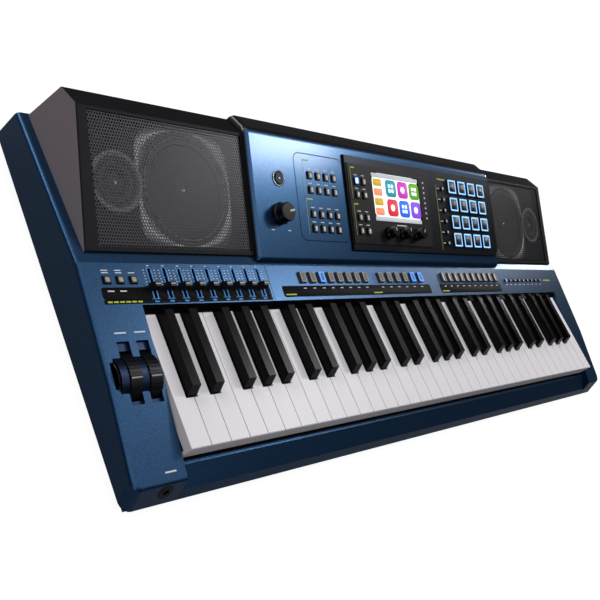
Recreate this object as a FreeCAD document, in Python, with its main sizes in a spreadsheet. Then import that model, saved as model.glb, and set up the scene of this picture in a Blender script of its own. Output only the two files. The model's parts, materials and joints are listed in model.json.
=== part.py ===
import FreeCAD, Part
import os
import re

import Sketcher
from FreeCAD import Placement, Rotation, Vector

# An arranger keyboard with sixty-one keys, in millimetres.
# +X runs to the player's right, +Y away from the player, +Z up.
# The origin lies on the table, under the middle of the case.

SIZES = {
    # case
    "right_block": 41.4, "front_margin": 30.3, "strip_depth": 41, "case_width": 948,
    "case_depth": 382, "rim_height": 11, "wall": 3, "foot_height": 4, "front_height": 24.5,
    "front_lean": 9.5, "crest_height": 61, "strip_slope": 5.85, "deck_bend_set": 95,
    "deck_bend_height": 49.3, "shoulder_drop": 10, "back_lean": 5, "edge_round": 4,
    "corner_round": 10, "rail_set": 24, "rail_height": 19.5,
    "rail_nose_height": 10, "rail_nose_set": 5, "rail_thick": 3, "fit_gap": 0.4, "running_gap": 0.3,
    "pan_inset": 1.5, "pan_taper": 8, "pan_floor": 3,
    # keys
    "white_share": 0.35785, "key_gap": 1, "well_play": 1.8, "key_drop": 6.4, "key_thick": 11,
    "lip_height": 20.4, "lip_thick": 3.2, "key_bevel": 0.8, "black_setback": 47.6,
    "black_rise": 11.5, "black_base": 12.3, "black_draft": 3, "black_front_run": 5,
    "black_gap": 0.8, "black_rear": 8, "arm_drop": 1.4, "pivot_set": 84, "pivot_drop": 10.4,
    "pivot_radius": 2.5, "key_tail": 6, "key_dip": 10, "fallboard_reach": 7, "fallboard_flange": 5,
    "fallboard_lift": 0.8,
    # key bed
    "bed_plate": 3, "stop_set": 10, "stop_width": 5, "felt_thick": 1.5, "post_width": 3.6,
    "contact_set": 36, "contact_width": 26, "board_thick": 1.6, "dome_height": 1.6, "dome_width": 6,
    "spring_thick": 0.6, "spring_width": 8, "spring_reach": 20,
    # wheels
    "wheel_set": 85, "wheel_height": 33.5, "wheel_radius": 24, "wheel_width": 12,
    "axle_radius": 3, "axle_gap": 0.1,
    "barrel_radius": 22.4, "barrel_start": 11, "barrel_length": 43, "wheel_slot": 56,
    "wheel_room": 0.5, "groove_width": 1.6, "groove_depth": 0.8, "lens_length": 4.5, "lens_step": 2,
    # control console
    "console_setback": 3, "console_in": 14, "console_brow_depth": 24.413, "console_lift": 5.1,
    "console_slope": 22, "console_brow_drop": 9, "console_round": 6, "console_brow": 12,
    "panel_thick": 3, "panel_corner": 9, "bezel_thick": 1.2, "screen_lap": 1.6, "screen_thick": 6,
    # buttons, pads and knobs
    "button_proud": 2, "button_depth": 3.5, "button_draft": 4, "tone_width": 7.5, "tone_height": 9,
    "bank_radius": 3.2, "power_radius": 6.6, "volume_radius": 12.5, "volume_height": 14,
    "dial_radius": 8, "dial_height": 13, "knob_gap": 0.5, "shaft_radius": 3, "shaft_depth": 9,
    "main_board_depth": 14, "main_board_side": 12, "boss_radius": 3,
    # strip of buttons and drawbar sliders behind the keys
    "board_left_in": 18, "board_right_in": 70, "organ_width": 7.5, "organ_up": 17, "slot_width": 3,
    "slot_low": 35, "slot_high": 5, "slider_up": 24, "cap_width": 9, "cap_length": 7.5,
    "cap_height": 8, "stem_width": 2.2, "stem_length": 4, "stem_depth": 4.2, "cap_lift": 0.4,
    "tall_width": 9.4, "tall_height": 13.5, "tall_up": 14.8, "mode_up": 20, "mode_radius": 2.6,
    "strip_button_depth": 3, "strip_board_depth": 5, "strip_board_low": 30, "strip_board_high": 4,
    # speakers
    "speaker_in": 11, "speaker_setback": 11, "speaker_foot_in": 7, "speaker_brow_depth": 26.612,
    "speaker_lift": 2.6, "speaker_slope": 22, "speaker_brow_drop": 9.9, "frame_border": 16,
    "inner_border": 2, "grille_sink": 1.2, "grille_thick": 0.8, "grille_ledge": 3, "baffle_sink": 9,
    "baffle_thick": 4, "speaker_lean": 6, "speaker_round": 2, "flange_thick": 3, "driver_gap": 0.5, "rim_lap": 6,
    "cone_depth": 7, "cap_radius": 15, "magnet_radius": 20, "magnet_depth": 4,
    # sockets, feet and screws
    "foot_front_in": 51, "foot_back_in": 41, "screw_front_in": 21, "screw_back_in": 26,
    "jack_radius": 3.3, "jack_sleeve": 5.5, "jack_length": 18, "jack_floor": 2, "jack_flange": 1.5,
    "jack_flange_radius": 7.5, "jack_height": 82, "phones_set": 38, "phones_up": 14.5,
    "foot_radius": 11, "foot_in": 70, "screw_radius": 2, "screw_head": 4, "screw_head_thick": 1.6,
    "screw_in": 110,
}
# Places and widths across the case, counted in white keys.
ACROSS = {
    "console_left": 10.8511, "console_right": 11.4894, "panel_left": 3.9574, "panel_right": 11.3191,
    "bezel_right": 3.5745, "screen_left": 1.7745, "screen_width": 4.5021, "tone_first": 6.6809,
    "tone_pitch": 0.617, "menu_first": 3.1915, "menu_pitch": 0.6255, "pad_first": 6.3745,
    "pad_pitch_across": 1.1404, "pad_width": 0.8936, "bank_set": 5.2894, "power_set": 8.9362,
    "volume_set": 9.1064, "dial_middle": 0.5532, "dial_pitch": 1.3191, "organ_first": 19.0511,
    "organ_pitch": 0.6043, "slider_first": 16.9745, "slider_pitch": 0.7489, "rhythm_first": 8.1064,
    "rhythm_pitch": 0.6894, "start_first": 1.8894, "start_pitch": 0.7404, "memory_first": 4.3064,
    "memory_pitch": 0.6851, "mode_first": 11.8383, "mode_pitch": 0.6106, "woofer_from_side": 5.4894,
    "jack_first": 6.383, "jack_pitch": 1.4468, "woofer_across": 2.4255,
    "tweeter_across": 1.1064,
}
# Places and heights up the console's face, as shares of its run.
UP_CONSOLE = {
    "panel_low": 0.0944, "panel_high": 0.9301, "bezel_low": 0.1566, "bezel_high": 0.8566,
    "screen_low": 0.372, "screen_height": 0.4385, "row_one": 0.7021, "row_two": 0.5839,
    "row_three": 0.386, "row_four": 0.2685, "pad_low": 0.2448, "pad_pitch_up": 0.179,
    "pad_height": 0.1399, "bank_low": 0.207, "bank_pitch": 0.1084, "power_up": 0.6434,
    "volume_up": 0.3636, "dial_up": 0.2657, "main_board_low": 0.2238, "main_board_high": 0.9161,
}
# The same for a speaker's face.
UP_SPEAKER = {
    "frame_low": 0.0303, "frame_high": 0.9773, "woofer_up": 0.5, "tweeter_up": 0.5,
    "woofer_along": 0.4318, "tweeter_along": 0.197,
}
OCTAVES = 5
WHITE_NAMES = ("c", "d", "e", "f", "g", "a", "b")
# Where each black key's middle lies, in white keys from its octave's C.
BLACK_PLACE = {"c_sharp": 0.9, "d_sharp": 2.1, "f_sharp": 27 / 7, "g_sharp": 5.0, "a_sharp": 43 / 7}
BLACK_LEFT_OF = {"d": "c_sharp", "e": "d_sharp", "g": "f_sharp", "a": "g_sharp", "b": "a_sharp"}
BLACK_RIGHT_OF = {"c": "c_sharp", "d": "d_sharp", "f": "f_sharp", "g": "g_sharp", "a": "a_sharp"}
WHEEL_GROOVES = 40
OUTLINES_EACH = 6

doc = FreeCAD.newDocument("ArrangerKeyboard")
sheet = doc.addObject("Spreadsheet::Sheet", "Sizes")
for row, (alias, size) in enumerate({**SIZES, **ACROSS, **UP_CONSOLE, **UP_SPEAKER}.items(), start=1):
    sheet.set("A%d" % row, alias)
    sheet.set("B%d" % row, str(size))
    sheet.setAlias("B%d" % row, alias)
doc.recompute()
nodes = []


def bound_name(match):
    """One name of an expression, as the sheet's size or as the expression it follows from."""
    name = match[0]
    for places, unit in ((ACROSS, "white_pitch"), (UP_CONSOLE, "console_run"), (UP_SPEAKER, "speaker_run")):
        if name in places:
            return "(Sizes.%s * %s)" % (name, bind(unit))
    if name in FOLLOWS:
        return "(%s)" % bind(FOLLOWS[name])
    return "Sizes." + name if name in SIZES else name


def bind(text):
    """The expression in text, with each name in it read from the sheet."""
    return re.sub(r"[a-z]+(_[a-z]+)*", bound_name, str(text))


def size_of(text):
    """What the expression in text comes to now."""
    return float(sheet.evalExpression(bind(text)))


def tie(thing, **bound):
    """Bind properties of a thing to expressions; two underscores stand for a dot."""
    for name, text in bound.items():
        thing.setExpression(name.replace("__", "."), bind(text))


def node(thing, name):
    """Name a finished sub-part."""
    thing.Label = name
    nodes.append(thing)
    return thing


# Places that several pieces share, as expressions.
LEFT = "(-case_width / 2)"
RIGHT = "(case_width / 2)"
FRONT = "(-case_depth / 2)"
BACK = "(case_depth / 2)"
WELL_LEFT = "(-case_width / 2 + left_block)"
KEY_LEFT = "(-case_width / 2 + left_block + well_play)"
KEY_RIGHT = "(-case_width / 2 + left_block + well_play + 36 * white_pitch)"
WELL_RIGHT = "(-case_width / 2 + left_block + 2 * well_play + 36 * white_pitch)"
KEY_FRONT = "(-well_back - white_reach)"
KEY_REAR = "(-well_back + pivot_set + key_tail)"
KEY_UNDER = "(key_top - key_thick)"
PIVOT_Y = "(-well_back + pivot_set)"
PIVOT_Z = "(key_top - pivot_drop)"
BLACK_FRONT = "(-well_back - white_reach + black_setback)"
STRIP_LOW = "(crest_height - (crest_set + well_back) * tan(strip_slope))"
BACK_TOP_Y = "(case_depth / 2 - back_lean)"
BACK_TOP_Z = "(crest_height - shoulder_drop)"
FRONT_TOP_Y = "(-case_depth / 2 + front_lean)"
FRONT_TOP_Z = "(rim_height + front_height)"
PAN_BOTTOM = "(foot_height)"
PAN_TOP = "(foot_height + pan_floor)"
PAN_SIDE = "(case_width / 2 - pan_inset - pan_taper - wall)"
PAN_END = "(case_depth / 2 - pan_inset - pan_taper - wall)"


def shoulder(y):
    """Height of the flat shoulder that carries the console and speakers, at depth y."""
    return "(crest_height - shoulder_drop * (%s - crest_set) / (%s - crest_set))" % (y, BACK_TOP_Y)


# Sizes that follow from others, by the names used for them below.
FOLLOWS = {
    "left_block": "barrel_start + barrel_length + wall",
    "wheel_first": "barrel_start + barrel_length / 3",
    "wheel_pitch": "barrel_length * 0.48",
    "white_pitch": "(case_width - left_block - right_block - 2 * well_play) / 36",
    "white_reach": "case_depth * white_share",
    "well_back": "case_depth / 2 - front_margin - white_reach",
    "crest_set": "strip_depth - well_back",
    "console_set": "crest_set + console_setback",
    "console_back": "case_depth / 2 - console_in",
    "console_run": "(console_back - console_set - console_brow_depth) / cos(console_slope)",
    "speaker_out": "case_width / 2 - speaker_in",
    "speaker_set": "crest_set + speaker_setback",
    "speaker_back": "console_back",
    "speaker_foot_back": "case_depth / 2 - speaker_foot_in",
    "speaker_run": "(speaker_back - speaker_set - speaker_brow_depth) / cos(speaker_slope)",
    "woofer_radius": "min(woofer_across, woofer_along)",
    "tweeter_radius": "min(tweeter_across, tweeter_along)",
    "tweeter_from_side": "woofer_from_side - woofer_radius - driver_gap - tweeter_radius",
    "foot_row_front": "case_depth / 2 - foot_front_in",
    "foot_row_back": "case_depth / 2 - foot_back_in",
    "screw_row_front": "case_depth / 2 - screw_front_in",
    "screw_row_back": "case_depth / 2 - screw_back_in",
    "key_top": "%s - key_drop" % STRIP_LOW,
    "console_height": "%s + console_lift" % shoulder("console_set"),
    "speaker_height": "%s + speaker_lift" % shoulder("speaker_set"),
    "console_back_height": "console_height + console_run * sin(console_slope) - console_brow_drop",
    "speaker_back_height": "speaker_height + speaker_run * sin(speaker_slope) - speaker_brow_drop",
}
FRAMES = {
    "console": ("console_set", "console_height", "console_slope"),
    "speaker": ("speaker_set", "speaker_height", "speaker_slope"),
    "strip": ("crest_set", "crest_height", "strip_slope"),
}


def deck(y):
    """Height of the left block's deck at depth y, behind or before its bend."""
    if size_of(y) > size_of("-deck_bend_set"):
        return "(deck_bend_height + (deck_bend_set + (%s)) * (%s - deck_bend_height) / (deck_bend_set - well_back))" % (
            y, STRIP_LOW)
    return "(deck_bend_height + (deck_bend_set + (%s)) * (deck_bend_height - %s) / (-%s - deck_bend_set))" % (
        y, FRONT_TOP_Z, FRONT_TOP_Y)


def on_slope(frame, along, up):
    """The case's depth and height at a place on a tilted panel: along its slope and above it."""
    y, z, slope = FRAMES[frame]
    depth = "(%s + (%s) * cos(%s) - (%s) * sin(%s))" % (y, along, slope, up, slope)
    height = "(%s + (%s) * sin(%s) + (%s) * cos(%s))" % (z, along, slope, up, slope)
    return depth, height


def tilt(thing, frame):
    """Place a thing that was drawn flat on one of the tilted panels."""
    y, z, slope = FRAMES[frame]
    thing.Placement = Placement(Vector(0, 0, 0), Rotation(Vector(1, 0, 0), 1))
    tie(thing, Placement__Base__y=y, Placement__Base__z=z, Placement__Rotation__Angle=slope)


def draw(sketch, polygons=(), circles=()):
    """Closed polygons and circles, each corner, centre and radius tied to its sizes."""
    bound = []
    for corners in polygons:
        first = sketch.GeometryCount
        count = len(corners)
        points = [Vector(size_of(x), size_of(y), 0) for x, y in corners]
        lines = [Part.LineSegment(points[i], points[(i + 1) % count]) for i in range(count)]
        sketch.addGeometry(lines, False)
        joined = [Sketcher.Constraint("Coincident", first + i, 2, first + (i + 1) % count, 1)
                  for i in range(count)]
        sketch.addConstraint(joined)
        for i, (x, y) in enumerate(corners):
            bound.append((Sketcher.Constraint("DistanceX", first + i, 1, points[i].x), x))
            bound.append((Sketcher.Constraint("DistanceY", first + i, 1, points[i].y), y))
    for x, y, radius in circles:
        index = sketch.GeometryCount
        centre = Vector(size_of(x), size_of(y), 0)
        sketch.addGeometry(Part.Circle(centre, Vector(0, 0, 1), size_of(radius)), False)
        bound.append((Sketcher.Constraint("DistanceX", index, 3, centre.x), x))
        bound.append((Sketcher.Constraint("DistanceY", index, 3, centre.y), y))
        bound.append((Sketcher.Constraint("Radius", index, size_of(radius)), radius))
    numbers = sketch.addConstraint([constraint for constraint, text in bound])
    for number, (constraint, text) in zip(numbers, bound):
        sketch.setExpression("Constraints[%d]" % number, bind(text))


def sketch_in(body, name, role, polygons=(), circles=()):
    """A sketch on one of a body's own origin planes."""
    sketch = body.newObject("Sketcher::SketchObject", name)
    plane = [feature for feature in body.Origin.OriginFeatures if feature.Role == role][0]
    sketch.AttachmentSupport = [(plane, "")]
    sketch.MapMode = "FlatFace"
    draw(sketch, polygons, circles)
    return sketch


def bar(name, corners, start, end):
    """A side outline, given as depth and height, carried from start to end along X."""
    body = doc.addObject("PartDesign::Body", name)
    pad = body.newObject("PartDesign::Pad", name + "_pad")
    pad.Profile = sketch_in(body, name + "_outline", "YZ_Plane", [corners])
    tie(pad, Length="(%s) - (%s)" % (end, start))
    tie(body, Placement__Base__x=start)
    doc.recompute()
    return body


def edge_names(shape, test):
    """Names of the edges whose two ends both pass a test."""
    return ["Edge%d" % number for number, edge in enumerate(shape.Edges, start=1)
            if all(test(vertex.Point) for vertex in edge.Vertexes)]


def edges_along_x(shape, y, z):
    """Names of the edges that run along X at depth y and height z."""
    depth = size_of(y)
    height = size_of(z)
    return edge_names(shape, lambda p: abs(p.y - depth) < 0.01 and abs(p.z - height) < 0.01)


def round_off(body, names, radius):
    """Round the named edges of a body's last feature."""
    base = body.Tip
    fillet = body.newObject("PartDesign::Fillet", body.Name + "_round")
    fillet.Base = (base, names)
    tie(fillet, Radius=radius)
    doc.recompute()
    return body


def plate(name, frame, low, high, polygons=(), circles=(), draft="0"):
    """Outlines drawn flat, a few to a sketch, given their height between low and high, and set on a panel."""
    outlines = [([corners], []) for corners in polygons] + [([], [circle]) for circle in circles]
    slabs = []
    for first in range(0, len(outlines), OUTLINES_EACH):
        few = outlines[first:first + OUTLINES_EACH]
        tail = "" if len(outlines) <= OUTLINES_EACH else "_%d" % (first // OUTLINES_EACH)
        sketch = doc.addObject("Sketcher::SketchObject", name + "_plan" + tail)
        draw(sketch, [p for some, none in few for p in some], [c for none, some in few for c in some])
        tie(sketch, Placement__Base__z=low)
        slab = doc.addObject("Part::Extrusion", name + tail)
        slab.Base = sketch
        slab.DirMode = "Custom"
        slab.Dir = Vector(0, 0, 1)
        slab.Solid = True
        tie(slab, LengthFwd="(%s) - (%s)" % (high, low), TaperAngle="-(%s)" % draft)
        slabs.append(slab)
    whole = slabs[0] if len(slabs) == 1 else group(name, slabs)
    if frame:
        tilt(whole, frame)
    return whole


def box(name, x, y, z, far_x, far_y, far_z):
    """A block between two corners."""
    block = doc.addObject("Part::Box", name)
    tie(block, Placement__Base__x=x, Placement__Base__y=y, Placement__Base__z=z,
        Length="(%s) - (%s)" % (far_x, x), Width="(%s) - (%s)" % (far_y, y),
        Height="(%s) - (%s)" % (far_z, z))
    return block


def rod(name, x, y, z, radius, length, turn=(Vector(0, 0, 1), 0)):
    """A round rod that starts at a point and runs along Z, or along Z turned about an axis."""
    cylinder = doc.addObject("Part::Cylinder", name)
    cylinder.Placement = Placement(Vector(0, 0, 0), Rotation(*turn))
    tie(cylinder, Placement__Base__x=x, Placement__Base__y=y, Placement__Base__z=z,
        Radius=radius, Height=length)
    return cylinder


ALONG_X = (Vector(0, 1, 0), 90)
ALONG_Y = (Vector(1, 0, 0), -90)


def turned(name, corners):
    """A round piece: an outline of radius and height turned about Z."""
    body = doc.addObject("PartDesign::Body", name)
    sketch = sketch_in(body, name + "_section", "XZ_Plane", [corners])
    spin = body.newObject("PartDesign::Revolution", name + "_spin")
    spin.Profile = sketch
    spin.ReferenceAxis = (sketch, ["V_Axis"])
    spin.Angle = 360
    doc.recompute()
    return body


def group(name, parts):
    """Separate solids kept together as one node."""
    compound = doc.addObject("Part::Compound", name)
    compound.Links = parts
    return compound


def join(name, parts):
    """Solids fused into one."""
    fused = doc.addObject("Part::MultiFuse", name)
    fused.Shapes = parts
    return fused


def cut(name, base, tools):
    """A base with tools, which stay clear of each other, taken out of it."""
    whole = doc.addObject("Part::Cut", name)
    whole.Base = base
    whole.Tool = tools[0] if len(tools) == 1 else group(name + "_tools", tools)
    return whole


def rectangle(x, y, width, height, grow="0"):
    """Corners of a rectangle about a middle, grown by a margin on each side."""
    x0 = "(%s) - (%s) / 2 - (%s)" % (x, width, grow)
    x1 = "(%s) + (%s) / 2 + (%s)" % (x, width, grow)
    y0 = "(%s) - (%s) / 2 - (%s)" % (y, height, grow)
    y1 = "(%s) + (%s) / 2 + (%s)" % (y, height, grow)
    return [(x0, y0), (x1, y0), (x1, y1), (x0, y1)]


# Control places, as expressions along and up their panels.
ROWS = ("row_one", "row_two", "row_three", "row_four")
TONE_PLACES = [("-tone_first + %d * tone_pitch" % i, row) for row in ROWS for i in range(4)]
MENU_PLACES = [("-menu_first + %d * menu_pitch" % i, row) for row in ROWS for i in range(2)]
PAD_PLACES = [("pad_first + %d * pad_pitch_across" % i, "pad_low + %d * pad_pitch_up" % j)
              for j in range(4) for i in range(4)]
BANK_PLACES = [("bank_set", "bank_low + %d * bank_pitch" % i) for i in range(6)]
DIAL_PLACES = [("dial_middle + %d * dial_pitch" % i, "dial_up") for i in (-1, 0, 1)]
ORGAN_PLACES = [("-organ_first + %d * organ_pitch" % i, "-organ_up") for i in range(3)]
RHYTHM_PLACES = [("-rhythm_first + %d * rhythm_pitch" % i, "-tall_up") for i in range(8)]
START_PLACES = [("-start_first + %d * start_pitch" % i, "-tall_up") for i in range(6)]
MEMORY_PLACES = [("memory_first + %d * memory_pitch" % i, "-tall_up") for i in range(10)]
MODE_PLACES = [("mode_first + %d * mode_pitch" % i, "-mode_up") for i in range(9)]
# Posts between the button groups, in white keys from the middle.
STRIP_POSTS = (-17.4, -10.13, -2.47, 3.66, 10.98, 15.81)
SLIDER_X = ["-slider_first + %d * slider_pitch" % i for i in range(9)]
POWER_PLACE = ("-power_set", "power_up")
VOLUME_PLACE = ("-volume_set", "volume_up")
SCREEN_X = "-screen_left + screen_width / 2"
SCREEN_Y = "screen_low + screen_height / 2"


def rectangles(places, width, height, grow="0"):
    return [rectangle(x, y, width, height, grow) for x, y in places]


def rounds(places, radius, grow="0"):
    return [(x, y, "%s + %s" % (radius, grow)) for x, y in places]


def lower_case():
    """Shallow pan under the instrument, its rim inside the upper case's outline."""
    pan = doc.addObject("Part::Wedge", "lower_case_block")
    pan.Placement = Placement(Vector(0, 0, 0), Rotation(Vector(1, 0, 0), 90))
    tie(pan, Placement__Base__z="0",
        Xmin="-case_width / 2 + pan_inset + pan_taper", Xmax="case_width / 2 - pan_inset - pan_taper",
        X2min="-case_width / 2 + pan_inset", X2max="case_width / 2 - pan_inset",
        Zmin="-case_depth / 2 + pan_inset + pan_taper", Zmax="case_depth / 2 - pan_inset - pan_taper",
        Z2min="-case_depth / 2 + pan_inset", Z2max="case_depth / 2 - pan_inset",
        Ymin=PAN_BOTTOM, Ymax="rim_height")
    hollow = box("lower_case_hollow", "-" + PAN_SIDE, "-" + PAN_END, PAN_TOP, PAN_SIDE, PAN_END,
                 "rim_height + 1")
    bores = []
    for i, (x, y) in enumerate(SCREW_PLACES):
        bores.append(rod("screw_bore_%d" % i, x, y, "foot_height - 1", "screw_radius + fit_gap",
                         "pan_floor + 2"))
    return node(cut("lower_case", pan, [hollow] + bores), "lower_case")


SCREW_PLACES = [("%s * (case_width / 2 - screw_in) * %s" % (side, share), row)
                for row in ("-screw_row_front", "screw_row_back")
                for side, share in ((-1, 1), (-1, "1 / 3"), (1, "1 / 3"), (1, 1))]


def case_outline(inset="0", floor="rim_height"):
    """Side outline of the upper case, drawn in by a wall where inset says so."""
    return [
        (FRONT + " + " + inset, floor),
        (FRONT_TOP_Y + " + " + inset, FRONT_TOP_Z + " - " + inset),
        ("-deck_bend_set", "deck_bend_height - " + inset),
        ("-well_back", STRIP_LOW + " - " + inset),
        ("crest_set", "crest_height - " + inset),
        (BACK_TOP_Y + " - " + inset, BACK_TOP_Z + " - " + inset),
        (BACK + " - " + inset, floor),
    ]


def side_edges(shape, start, end):
    """Names of the edges on a bar's two flat ends that lie between two depths."""
    names = []
    ends_x = (shape.BoundBox.XMin, shape.BoundBox.XMax)
    for number, edge in enumerate(shape.Edges, start=1):
        points = [vertex.Point for vertex in edge.Vertexes]
        flat = any(all(abs(p.x - x) < 0.01 for p in points) for x in ends_x)
        between = all(size_of(start) - 0.01 < p.y < size_of(end) + 0.01 for p in points)
        level = abs(points[0].z - points[-1].z) < 0.01 and points[0].z < size_of("rim_height") + 0.01
        if flat and between and not level:
            names.append("Edge%d" % number)
    return names


def upper_case():
    """Painted shell: cheek blocks, front rail, button strip and the shoulder behind it."""
    shell = bar("upper_case_block", case_outline(), LEFT, RIGHT)
    round_off(shell, side_edges(shell.Tip.Shape, FRONT, FRONT_TOP_Y), "corner_round")
    round_off(shell, side_edges(shell.Tip.Shape, FRONT_TOP_Y, BACK_TOP_Y), "edge_round")
    well = bar("upper_case_well", [
        (FRONT + " - 5", "rim_height"), (FRONT, "rim_height"),
        (FRONT + " + rail_nose_set", "rim_height + rail_nose_height"),
        (FRONT + " + rail_set", "rim_height + rail_height"),
        (FRONT + " + rail_set + rail_thick", "rim_height + rail_height"),
        (FRONT + " + rail_set + rail_thick", "rim_height - 1"),
        ("-well_back", "rim_height - 1"), ("-well_back", "crest_height + 5"),
        (FRONT + " - 5", "crest_height + 5"),
    ], WELL_LEFT, WELL_RIGHT)
    inner = case_outline("wall", "rim_height - 1")
    rear = bar("upper_case_rear_hollow",
               [("-well_back - 1", "rim_height - 1"), ("-well_back - 1", STRIP_LOW + " - wall")] + inner[3:],
               LEFT + " + wall", RIGHT + " - wall")
    cheek = inner[:3] + [("-well_back + 1", STRIP_LOW + " - wall"), ("-well_back + 1", "rim_height - 1")]
    left_hollow = bar("upper_case_left_hollow", cheek, LEFT + " + wall", WELL_LEFT + " - wall")
    right_hollow = bar("upper_case_right_hollow", cheek, WELL_RIGHT + " + wall", RIGHT + " - wall")
    hollow = cut("upper_case_hollowed", shell, [well])
    hollow = cut("upper_case_rear", hollow, [rear])
    hollow = cut("upper_case_cheeks", hollow, [left_hollow, right_hollow])
    openings = plate("upper_case_openings", "strip", "-wall - 2", "4",
                     rectangles(ORGAN_PLACES, "organ_width", "organ_width", "fit_gap")
                     + rectangles(RHYTHM_PLACES, "tall_width", "tall_height", "fit_gap")
                     + rectangles(START_PLACES, "tall_width", "tall_height", "fit_gap")
                     + rectangles(MEMORY_PLACES, "tall_width", "tall_height", "fit_gap")
                     + [rectangle(x, "-(slot_low + slot_high) / 2", "slot_width", "slot_low - slot_high")
                        for x in SLIDER_X],
                     rounds(MODE_PLACES, "mode_radius", "fit_gap"))
    wheel_slots = []
    for i in range(2):
        middle = LEFT + " + wheel_first + %d * wheel_pitch" % i
        wheel_slots.append(box("wheel_opening_%d" % i, middle + " - wheel_width / 2 - wheel_room",
                               "-wheel_set - wheel_slot / 2", "wheel_height",
                               middle + " + wheel_width / 2 + wheel_room",
                               "-wheel_set + wheel_slot / 2", "crest_height"))
    barrel_slot = rod("barrel_opening", LEFT + " + barrel_start - fit_gap", "-wheel_set", "wheel_height",
                      "barrel_radius + fit_gap", "barrel_length + 2 * fit_gap", ALONG_X)
    lens = rod("barrel_lens", LEFT + " + barrel_start - lens_length", "-wheel_set", "wheel_height",
               "barrel_radius - lens_step", "lens_length", ALONG_X)
    mouths = []
    for side in ("left", "right"):
        x0, x1 = speaker_window(side)
        front = on_slope("speaker", "frame_low", "0")[0]
        mouths.append(box(side + "_speaker_mouth", x0 + " - fit_gap", front + " - fit_gap", BACK_TOP_Z + " - wall - 5",
                          x1 + " + fit_gap", "speaker_back - 20", "crest_height + 5"))
    phones = phones_rod("phones_opening", "-5", "jack_flange_radius", "12")
    pierced = cut("upper_case_strip", hollow, [openings])
    wheels_room = join("wheel_openings", wheel_slots + [barrel_slot, lens])
    return node(cut("upper_case", pierced, [wheels_room, phones] + mouths), "upper_case")


def phones_rod(name, start, radius, length):
    """A rod square to the leaning front face of the left block, on the headphone socket's axis."""
    lean = "atan(front_lean / front_height)"
    cylinder = doc.addObject("Part::Cylinder", name)
    cylinder.Placement = Placement(Vector(0, 0, 0), Rotation(Vector(-1, 0, 0), 110))
    foot_y = "%s + phones_up * front_lean / front_height" % FRONT
    tie(cylinder, Placement__Base__x=LEFT + " + phones_set",
        Placement__Base__y="%s + (%s) * cos(%s)" % (foot_y, start, lean),
        Placement__Base__z="rim_height + phones_up - (%s) * sin(%s)" % (start, lean),
        Placement__Rotation__Angle="90 deg + " + lean, Radius=radius, Height=length)
    return cylinder


def fallboard_strip():
    """Gloss black strip that closes the well above the keys' rear ends."""
    under = "(crest_height - (crest_set + well_back - fallboard_flange) * tan(strip_slope) - wall)"
    low = "key_top + fallboard_lift"
    strip = bar("fallboard_strip", [
        ("-well_back", STRIP_LOW), ("-well_back - fallboard_reach", low),
        ("-well_back + fallboard_flange", low), ("-well_back + fallboard_flange", under),
        ("-well_back", STRIP_LOW + " - wall"),
    ], WELL_LEFT + " + running_gap", WELL_RIGHT + " - running_gap")
    return node(strip, "fallboard_strip")


def white_section():
    """Side outline of the white keys: a plate with a deep front lip and a notch on the pivot."""
    body = bar("white_section", [
        (KEY_FRONT, "key_top - lip_height"), (KEY_FRONT + " + lip_thick", "key_top - lip_height"),
        (KEY_FRONT + " + lip_thick", KEY_UNDER), (KEY_REAR, KEY_UNDER), (KEY_REAR, "key_top"),
        (KEY_FRONT + " + key_bevel", "key_top"), (KEY_FRONT, "key_top - key_bevel"),
    ], KEY_LEFT, KEY_RIGHT)
    return pivot_notch(body)


def black_section():
    """Side outline of the black keys: a raised cap with a sloping front on a low arm."""
    body = bar("black_section", [
        (BLACK_FRONT, KEY_UNDER), (KEY_REAR, KEY_UNDER), (KEY_REAR, "key_top - arm_drop"),
        ("-well_back - black_rear", "key_top - arm_drop"),
        ("-well_back - black_rear", "key_top + black_rise"),
        (BLACK_FRONT + " + black_front_run", "key_top + black_rise"),
        (BLACK_FRONT, "key_top + key_bevel"),
    ], KEY_LEFT, KEY_RIGHT)
    return pivot_notch(body)


def pivot_notch(body):
    """Cut the round notch that sits over the key bed's pivot bar."""
    sketch = sketch_in(body, body.Name + "_notch", "YZ_Plane",
                       circles=[(PIVOT_Y, PIVOT_Z, "pivot_radius + running_gap")])
    pocket = body.newObject("PartDesign::Pocket", body.Name + "_notch_cut")
    pocket.Profile = sketch
    pocket.Type = "ThroughAll"
    pocket.Reversed = True
    doc.recompute()
    return body


def black_middle(name, octave):
    return "(%s + %.6f * white_pitch)" % (KEY_LEFT, BLACK_PLACE[name] + 7 * octave)


def white_outline(name, place, octave, last):
    """Plan of one white key, notched beside its black neighbours."""
    left = "(%s + %d * white_pitch + key_gap / 2)" % (KEY_LEFT, place)
    right = "(%s + %d * white_pitch - key_gap / 2)" % (KEY_LEFT, place + 1)
    step = "(%s - 2 * black_gap)" % BLACK_FRONT
    room = "(black_base / 2 + black_gap)"
    corners = [(left, KEY_FRONT + " - 1"), (right, KEY_FRONT + " - 1")]
    if name in BLACK_RIGHT_OF and not last:
        neck = "%s - %s" % (black_middle(BLACK_RIGHT_OF[name], octave), room)
        corners += [(right, step), (neck, step), (neck, KEY_REAR + " + 1")]
    else:
        corners += [(right, KEY_REAR + " + 1")]
    if name in BLACK_LEFT_OF:
        neck = "%s + %s" % (black_middle(BLACK_LEFT_OF[name], octave), room)
        corners += [(neck, KEY_REAR + " + 1"), (neck, step), (left, step)]
    else:
        corners += [(left, KEY_REAR + " + 1")]
    return corners


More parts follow.
